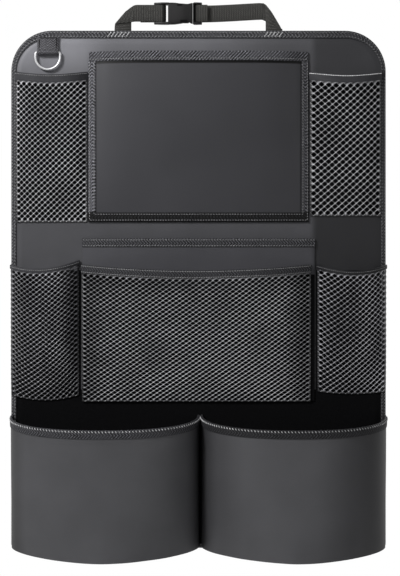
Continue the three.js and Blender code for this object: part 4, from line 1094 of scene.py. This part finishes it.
# %% Walls, floors and rims
LOWER_SIDE, LOWER_SPLIT, LOWER_GAP, LOWER_ROOT, LOWER_SLACK = 208.4, 2.0, 3.5, 5.7, 74.0
LOWER_RIM, LOWER_BOTTOM, RIM_SAG, FLOOR_SAG = -141.0, -288.0, 8.0, 2.0
LOWER_TALL, LOWER_THICK, FLOOR_INSET, FLOOR_ABOVE = LOWER_RIM - LOWER_BOTTOM, 1.2, 1.5, 1.2


def lower_section(side, u, v, inset=0.0):
    """Across and out, from the angle pi*u, with the exponent for the height v."""
    half = (LOWER_SIDE - LOWER_GAP / 2 - side * LOWER_SPLIT) / 2
    power = 2 / (1.6 + 0.7 * np.sin(np.pi / 2 * v))
    angle = np.pi * u
    across = -np.sign(np.cos(angle)) * np.abs(np.cos(angle)) ** power
    depth = (LOWER_SLACK - inset) * np.maximum(0, np.sin(angle)) ** power
    return side * (LOWER_SIDE - half) + (half - inset) * across, depth


def lower_wall(side, ripple=0.0):
    """The wall, with an optional ripple that fades at its seams."""
    def surface(u, v):
        x, depth = lower_section(side, u, v)
        full = depth / LOWER_SLACK
        rim, bottom = LOWER_RIM - RIM_SAG * full, LOWER_BOTTOM - FLOOR_SAG * full
        z = bottom + (rim - bottom) * v
        along = side * 300 + u * 260
        waves = swell(along, z, 52, 61) * 0.9 + swell(along, z, 21, 62) * 0.22
        low_folds = smooth(0.28 - v, 0, 0.25) * 0.5 * swell(along, z * 0.4, 17, 63)
        fade = smooth(full, 0.15, 0.7) * smooth(1 - v, 0.055, 0.12)
        depth = depth - ripple * fade * (0.4 + waves * 0.7 + low_folds)
        return np.stack([x, -LOWER_ROOT - depth, z], -1)
    return surface


def lower_floor(side):
    """The floor reaches from the seam to just inside the wall and hangs with it."""
    def surface(u, v):
        x, depth = lower_section(side, u, np.zeros_like(v), FLOOR_INSET)
        reach = depth * v
        return np.stack([x, -LOWER_ROOT - reach,
                         LOWER_BOTTOM + FLOOR_ABOVE - FLOOR_SAG * reach / LOWER_SLACK], -1)
    return surface


even = np.linspace(0, 1, 120)
lower_us = 0.35 * (0.5 - 0.5 * np.cos(np.pi * even)) + 0.65 * even
for side, name in [(-1, "lower_left"), (1, "lower_right")]:
    u, v = np.meshgrid(lower_us, np.linspace(0, 1, 70))
    walls = piece(name + "_wall", *shell(lower_wall(side, 1.0)(u, v), LOWER_THICK), pocket_leather)
    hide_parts(name + "_pocket")
    flat_size(lower_wall(side))
    u, v = np.meshgrid(np.linspace(0.03, 0.97, 70), np.linspace(0, 1, 24))
    base = piece(name + "_base", *shell(lower_floor(side)(u, v), LOWER_THICK), pocket_leather)
    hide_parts(name + "_floor")
    seams = rim_tape(name + "_rim_tape", lower_wall(side), lower_us, LOWER_TALL, LOWER_THICK,
                     RIM_WIDE, rim_tape_cloth, name + "_rim_binding", rows=(0.11,))
    stitch_rows(name + "_stitching", seams, pitch=3.6, long=2.4, wide=1.0, slant=55,
                finish=bright_thread)


# %% [markdown]
# ## The ring and its tab
# The tab is webbing folded round the straight bar of the ring and sewn down with a box of dark
# stitches. The ring is one bent steel wire: a bar, two short shoulders and a half round bow.

# %% A ribbon along a path
def ribbon(start, end, thickness):
    """A band between two edge paths: ten points round a flat section that thins at its sides."""
    across = end - start
    centre = (start + end) / 2
    along = np.gradient(centre, axis=0)
    off = np.cross(along, across)
    off /= np.linalg.norm(off, axis=1, keepdims=True)
    share = np.array([0, 0.04, 0.35, 0.65, 0.96, 1, 0.96, 0.65, 0.35, 0.04])
    lift = np.array([0, 0.42, 0.5, 0.5, 0.42, 0, -0.42, -0.5, -0.5, -0.42]) * thickness
    points = start[:, None] + across[:, None] * share[None, :, None] + off[:, None] * lift[None, :, None]
    wide = share * np.linalg.norm(across, axis=1).mean()
    uv = np.stack(np.meshgrid(lengths(centre), wide, indexing="ij"), -1)
    return (*swept(points), uv)


# %% The tab
RING_X, BAR_DEPTH, BAR_Z, TAB_BACK, TAB_TOP = -168.4, 8.25, 264.65, 277.65, 282.4
TAB_HALF, TAB_THICK, LOOP_RADIUS, MERGED_FRONT = 12, 1.15, 2.35, 7.25
turn = np.linspace(np.pi, 2.5 * np.pi, 26)
loop = np.stack([BAR_DEPTH + LOOP_RADIUS * np.cos(turn), BAR_Z + LOOP_RADIUS * np.sin(turn)], -1)
down = np.stack([np.full(6, BAR_DEPTH - LOOP_RADIUS), np.linspace(TAB_BACK, BAR_Z, 6)], -1)[:-1]
ease = np.linspace(0, 1, 8)[1:, None]
merge = loop[-1] * (1 - ease) + np.array([MERGED_FRONT + 0.1, BAR_Z + 8.0]) * ease
upward = np.stack([np.full(4, MERGED_FRONT), np.linspace(BAR_Z + 9, TAB_TOP, 4)], -1)
profile = np.concatenate([down, loop, merge, upward])
edges = [np.stack([np.full(len(profile), RING_X + x), -profile[:, 0], profile[:, 1]], -1)
         for x in (-TAB_HALF, TAB_HALF)]
points, faces, uv = ribbon(*edges, TAB_THICK)
tab = piece("ring_tab_webbing", points, faces, tab_cloth, uv=uv)
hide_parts("ring_tab")
BOX_HALF, BOX_LOW, BOX_HIGH, BOX_DEPTH = 9.7, 268.2, 281.2, 7.95
box = np.array([(-BOX_HALF, BOX_HIGH), (BOX_HALF, BOX_HIGH), (BOX_HALF, BOX_LOW),
                (-BOX_HALF, BOX_LOW), (-BOX_HALF, BOX_HIGH)])
path = np.concatenate([np.linspace(a, b, 30) for a, b in zip(box[:-1], box[1:])])
path = np.stack([RING_X + path[:, 0], np.full(len(path), -BOX_DEPTH), path[:, 1]], -1)
stitch_rows("ring_tab_stitching", [facing_front(path)], pitch=1.8, long=1.7, wide=1.0,
            finish=dark_thread)

# %% The ring
RING_HALF, RING_TURN, BOW_DROP, WIRE = 13.75, 1.75, 5.0, 1.35


def arc(x, z, radius, start, end, count):
    """Points on a circle, from one angle to another."""
    angle = np.linspace(start, end, count)
    return np.stack([x + radius * np.cos(angle), z + radius * np.sin(angle)], -1)


centre_line = np.concatenate([
    arc(RING_HALF - RING_TURN, -RING_TURN, RING_TURN, np.pi / 2, 0, 9),
    arc(0, -BOW_DROP, RING_HALF, 0, -np.pi, 60),
    arc(-RING_HALF + RING_TURN, -RING_TURN, RING_TURN, np.pi, np.pi / 2, 9),
])
tangent = np.roll(centre_line, -1, 0) - np.roll(centre_line, 1, 0)
tangent /= np.linalg.norm(tangent, axis=1, keepdims=True)
outward = np.stack([tangent[:, 1], -tangent[:, 0]], -1)
angle = np.arange(18) / 18 * 2 * np.pi
reach = np.cos(angle)[None, :, None] * outward[:, None] * WIRE
rings = np.stack([RING_X + centre_line[:, None, 0] + reach[..., 0],
                  np.broadcast_to(-BAR_DEPTH + WIRE * np.sin(angle)[None], reach.shape[:2]),
                  BAR_Z + centre_line[:, None, 1] + reach[..., 1]], -1)
ring = piece("steel_ring", *swept(rings, closed=True), steel, body="ring", crease=60)
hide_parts("accessory_ring")

# %% [markdown]
# ## The headrest strap
# Each half is tacked behind the panel, rises, and is folded over on a slanting crease into a
# level band, which then runs round a bar of the buckle and back on itself. The crease is a half
# circle of small radius about a line at 45 degrees, and the turn round the bar is another.

# %% The strap's path
STRAP_EDGE, BAND, FOLD, TACK, WRAP = 94.5, 19.0, 0.9, 283.0, 2.3
STRAP_Y, BUCKLE_Y, BAND_BOTTOM, BAND_THICK, TURNED_IN = 1.0, 1.5, 300.5, 1.4, 22
CREASE = math.pi * FOLD / math.sqrt(2)
DROOP_LOW, DROOP_HIGH, DROOP_INWARD = 290.5, 306, 0.16
SHOULDER_PULL, SHOULDER_REACH, SHOULDER_ACROSS, SHOULDER_DOWN = 2.2, 7.0, 0.38, 0.92


def crease_point(x, z, crease_z, face):
    """Folds the flat band over the 45 degree line: past it, a point goes round and lies back."""
    along = x + (z - crease_z)
    past = (z - crease_z - x) / math.sqrt(2)
    angle = np.clip(past / FOLD, 0, np.pi)
    away = np.minimum(0, past) + FOLD * np.sin(angle) - np.maximum(0, past - np.pi * FOLD)
    return np.stack([along / 2 - away * math.sqrt(0.5),
                     STRAP_Y + face * FOLD * (1 - np.cos(angle)),
                     crease_z + along / 2 + away * math.sqrt(0.5)], -1)


def bar_point(travel, across, crease_z, face, turn_at, tilt):
    """The level band: to the bar, half a circle round it, and back on the far side."""
    angle = np.clip((travel - turn_at) / WRAP, 0, np.pi)
    back = np.maximum(0, travel - turn_at - np.pi * WRAP)
    x = np.minimum(travel, turn_at) + WRAP * np.sin(angle) - back
    blend = smooth(travel, BAND, turn_at * 0.7)
    start, layer = STRAP_Y + face * 2 * FOLD, BUCKLE_Y + face * WRAP
    y = start + (layer - start) * blend - face * WRAP * (1 - np.cos(angle))
    z = crease_z + CREASE + across - tilt * smooth(x, 0, turn_at)
    return np.stack([x, y, z], -1)


def strap(name, side, face, crease_z, turn_at, tail, tilt, droop, replaced):
    """The stub, the crease, the band and the tail, as one ribbon between its two edges. The crease
    droops: above the panel, the band's outer edge is pulled down and in, and what lies between it
    and the inner edge less and less. The shoulder, where the crease meets the top edge, is pulled
    in and so rounded."""
    flat = np.linspace(TACK, crease_z - 1, 8)
    low = [crease_point(np.zeros(8), flat, crease_z, face)]
    high = [crease_point(np.full(8, BAND), flat, crease_z, face)]
    past = np.linspace(0, 1, 14) * np.pi * FOLD * math.sqrt(2)
    low.append(crease_point(np.zeros(14), crease_z + past, crease_z, face))
    high.append(crease_point(np.full(14, BAND), crease_z + past + BAND, crease_z, face))
    travel = np.concatenate([
        np.linspace(BAND + 2 * CREASE, turn_at, 30),
        turn_at + np.linspace(0, 1, 14)[1:] * np.pi * WRAP,
        turn_at + np.pi * WRAP + np.linspace(0, tail, 8)[1:],
    ])
    low.append(bar_point(travel, 0.0, crease_z, face, turn_at, tilt))
    high.append(bar_point(travel, BAND, crease_z, face, turn_at, tilt))

    def placed(rows):
        """An edge of the band at its side of the organizer, with its droop."""
        p = np.concatenate(rows)
        pull = np.clip(1 - p[:, 0] / BAND, 0, 1) * smooth(p[:, 2], DROOP_LOW, DROOP_HIGH)
        return np.stack([side * (STRAP_EDGE - p[:, 0] - DROOP_INWARD * droop * pull), p[:, 1],
                         p[:, 2] - droop * pull], -1)

    points, faces, uv = ribbon(placed(low), placed(high), BAND_THICK)
    reach = np.hypot(points[:, 0] - side * (STRAP_EDGE - BAND),
                     points[:, 2] - crease_z - BAND - CREASE / 2)
    pull = SHOULDER_PULL * np.clip(1 - reach / SHOULDER_REACH, 0, 1) ** 2
    points = points - pull[:, None] * np.array([side * SHOULDER_ACROSS, 0, SHOULDER_DOWN])
    made = piece(name, points, faces, webbing, uv=uv)
    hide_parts(replaced)


LEFT_TURN, RIGHT_TURN = STRAP_EDGE - 39.3, STRAP_EDGE + 0.9
base_z, right_rise = BAND_BOTTOM - CREASE, 3.4
strap("strap_left_band", -1, -1, base_z, LEFT_TURN, 26, 0.0, 3.5, "strap_left")
strap("strap_right_band", 1, 1, base_z + right_rise, RIGHT_TURN, 11, right_rise, 11, "strap_right")

# %% The bar tacks that hold the strap's ends, sewn through the edge tape
TACK_STEP, TACK_LEAN, TACK_LOW, TACK_HIGH = 4.1, 4.4, 282.4, 288.0
tacks = []
for left, count in [(-102.0, 6), (73.5, 5)]:
    for x in left + TACK_STEP * np.arange(count):
        tacks.append(facing_front(np.linspace([x, -TAPE_FRONT, TACK_LOW],
                                              [x + TACK_LEAN, -TAPE_FRONT, TACK_HIGH], 12)))
stitch_rows("strap_tack_stitching", tacks, pitch=2.3, long=2.4, wide=1.3, finish=bright_thread)

# %% [markdown]
# ## The buckle
# The buckle is moulded: a socket with a webbing bar in an open frame and a waist at its side
# windows, and a plug with its own bar. The windows are not cut: they are spots of painted shade in
# the plastic. Each moulding is a superellipse carried along the strap, |y/t|^4 + |z/h|^4 = 1, whose
# half height h and half thickness t change on the way.

# %% Mouldings along the strap
BUCKLE_Z = 310.0


def moulding(x, height, thick, z=0.0, y=BUCKLE_Y):
    """Rings at the places x, with the half heights and half thicknesses there, about (y, z)."""
    angle = np.arange(24) / 24 * 2 * np.pi
    across, up = [np.sign(wave) * np.abs(wave) ** 0.5 for wave in (np.cos(angle), np.sin(angle))]
    values = [np.asarray(a, float) for a in (x, height, thick, y, z)]
    x, height, thick, y, z = [a[:, None] for a in np.broadcast_arrays(*values)]
    return np.stack([x + 0 * across, y + thick * across, BUCKLE_Z + z + height * up], -1)


def moulded(name, parts, replaced):
    """One piece from several closed mouldings."""
    points, faces, first = [], [], 0
    for sections in parts:
        some, around = swept(sections)
        points.append(some)
        faces += [group + first for group in around]
        first += len(some)
    made = piece(name, np.concatenate(points), faces, plastic)
    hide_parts(replaced)


def rounded_ends(start, end, height, thick, radius=0.8, count=40):
    """Stations from start to end; heights and thicknesses shrink by a quarter circle at both ends."""
    x = start + (end - start) * (0.5 - 0.5 * np.cos(np.linspace(0, np.pi, count)))
    near = np.clip(np.minimum(x - start, end - x) / radius, 0, 1)
    shrink = radius * (1 - np.sqrt(1 - (1 - near) ** 2))
    return x, height(x) - shrink, thick(x) - shrink


def steady(value):
    """The same value all along a moulding."""
    return lambda x: np.full_like(x, value)


def bump(x, middle, width):
    """A bell: exp(-((x - middle)/width)^2)."""
    return np.exp(-(((x - middle) / width) ** 2))


# %% The socket and the plug
WAIST = (-12.5, 4.5)
body = rounded_ends(-34.3, -6.6, lambda x: 12.3 - 2.2 * bump(x, *WAIST) - 0.9 * bump(x, -20, 5),
                    lambda x: 4.4 - 0.5 * smooth(x, -20, -6))
rails = [moulding(*rounded_ends(-50.0, -33.0, steady(1.35),
                                lambda x: 1.6 + 2.6 * smooth(x, -50, -40)), z=side * 10.9)
         for side in (-1, 1)]
bar = moulding(*rounded_ends(-49.6, -38.7, steady(10.4), steady(1.25)))
moulded("buckle_body", [moulding(*body, z=0.8 * bump(body[0], *WAIST)), bar, *rails],
        "buckle_socket")

wall = moulding(*rounded_ends(-6.4, -5.0, steady(12.0), steady(4.0), 0.5, 12))
flanges = [moulding(*rounded_ends(-5.6, 4.0, steady(1.3),
                                  lambda x: 4.0 - 1.6 * smooth(x, -2, 4)), z=side * 11.0)
           for side in (-1, 1)]
plug_bar = moulding(*rounded_ends(0.5, 3.8, steady(10.4), steady(1.25), 0.8, 14))
guide = moulding(*rounded_ends(-5.4, -0.6, steady(10.4), steady(0.5), 0.4, 12),
                 y=BUCKLE_Y + 3.2)
prongs = [moulding(*rounded_ends(-22.0, -10.5, steady(1.5), steady(1.7), 1.4),
                   z=side * 9.3) for side in (-1, 1)]
moulded("buckle_flange", [wall, plug_bar, guide, *flanges, *prongs], "buckle_plug")

# %% [markdown]
# ## Floor, light and background
# A pale floor lies below the hanging organizer. The key light is a soft box at the upper left, as
# in the photograph. A small one in front gives the leather's sheen, a weak one fills from the
# right, and one behind lights the back. The world gives plain soft light. Only the camera, mirrors
# and glass see its white, and what mirrors or glass see of it in front of the part is dim.

# %% Floor
FLOOR_HALF, FLOOR_LEVEL = 1.2, -0.7
floor_mesh = bpy.data.meshes.new("studio_floor")
floor_corners = [(-1, -1), (1, -1), (1, 1), (-1, 1)]
floor_mesh.from_pydata([(FLOOR_HALF * x, FLOOR_HALF * y, FLOOR_LEVEL) for x, y in floor_corners],
                       [], [(0, 1, 2, 3)])
floor_finish, tree, shader = material("studio floor", (0.8, 0.8, 0.8), 0.8)
floor_mesh.materials.append(floor_finish)
studio_floor = bpy.data.objects.new("studio_floor", floor_mesh)
bpy.context.scene.collection.objects.link(studio_floor)


# %% Lamps
def soft_box(name, place, aim, size, power):
    """A square area lamp that faces a point."""
    lamp = bpy.data.lights.new(name, "AREA")
    lamp.size, lamp.energy = size, power
    made = bpy.data.objects.new(name, lamp)
    made.location = place
    direction = np.array(aim) - np.array(place)
    flat = math.hypot(direction[0], direction[1])
    made.rotation_euler = (math.pi / 2 + math.atan2(direction[2], flat), 0,
                           math.atan2(direction[1], direction[0]) - math.pi / 2)
    bpy.context.scene.collection.objects.link(made)
    print(name, power, "W")


soft_box("key_light", (-0.95, -0.95, 0.95), (0, 0, 0.02), 0.35, 19.5)
soft_box("sheen_light", (-0.40, -1.30, 0.74), (-0.1, 0, 0.25), 0.35, 1.8)
soft_box("fill_light", (1.3, -1.4, 0.1), (0, 0, 0), 1.0, 2)
soft_box("back_light", (0.6, 1.4, 1.0), (0, 0, 0), 1.0, 12)

# %% World
PLAIN_LIGHT, MIRRORED_IN_FRONT = 0.24, 0.12
world = bpy.data.worlds.new("studio")
bpy.context.scene.world = world
world.use_nodes = True
tree = world.node_tree
tree.nodes.clear()
rays = add(tree, "LightPath")
direction = add(tree, "SeparateXYZ", Vector=add(tree, "TexCoord").outputs["Generated"])
behind = add(tree, "MapRange", Value=direction.outputs["Y"], From_Min=-0.3, From_Max=0.5,
             To_Min=MIRRORED_IN_FRONT, To_Max=1.0)
mirrored = math_node(tree, "MAXIMUM", rays.outputs["Is Glossy Ray"], rays.outputs["Is Transmission Ray"])
seen = math_node(tree, "MULTIPLY", mirrored, behind.outputs[0])
plain = math_node(tree, "MULTIPLY", math_node(tree, "SUBTRACT", 1.0, mirrored), PLAIN_LIGHT)
strength = math_node(tree, "MAXIMUM", math_node(tree, "ADD", seen, plain), rays.outputs["Is Camera Ray"])
light = add(tree, "Background", Color=(1, 1, 1, 1), Strength=strength)
add(tree, "OutputWorld", Surface=light.outputs[0])
bpy.context.scene.view_settings.view_transform = "Standard"
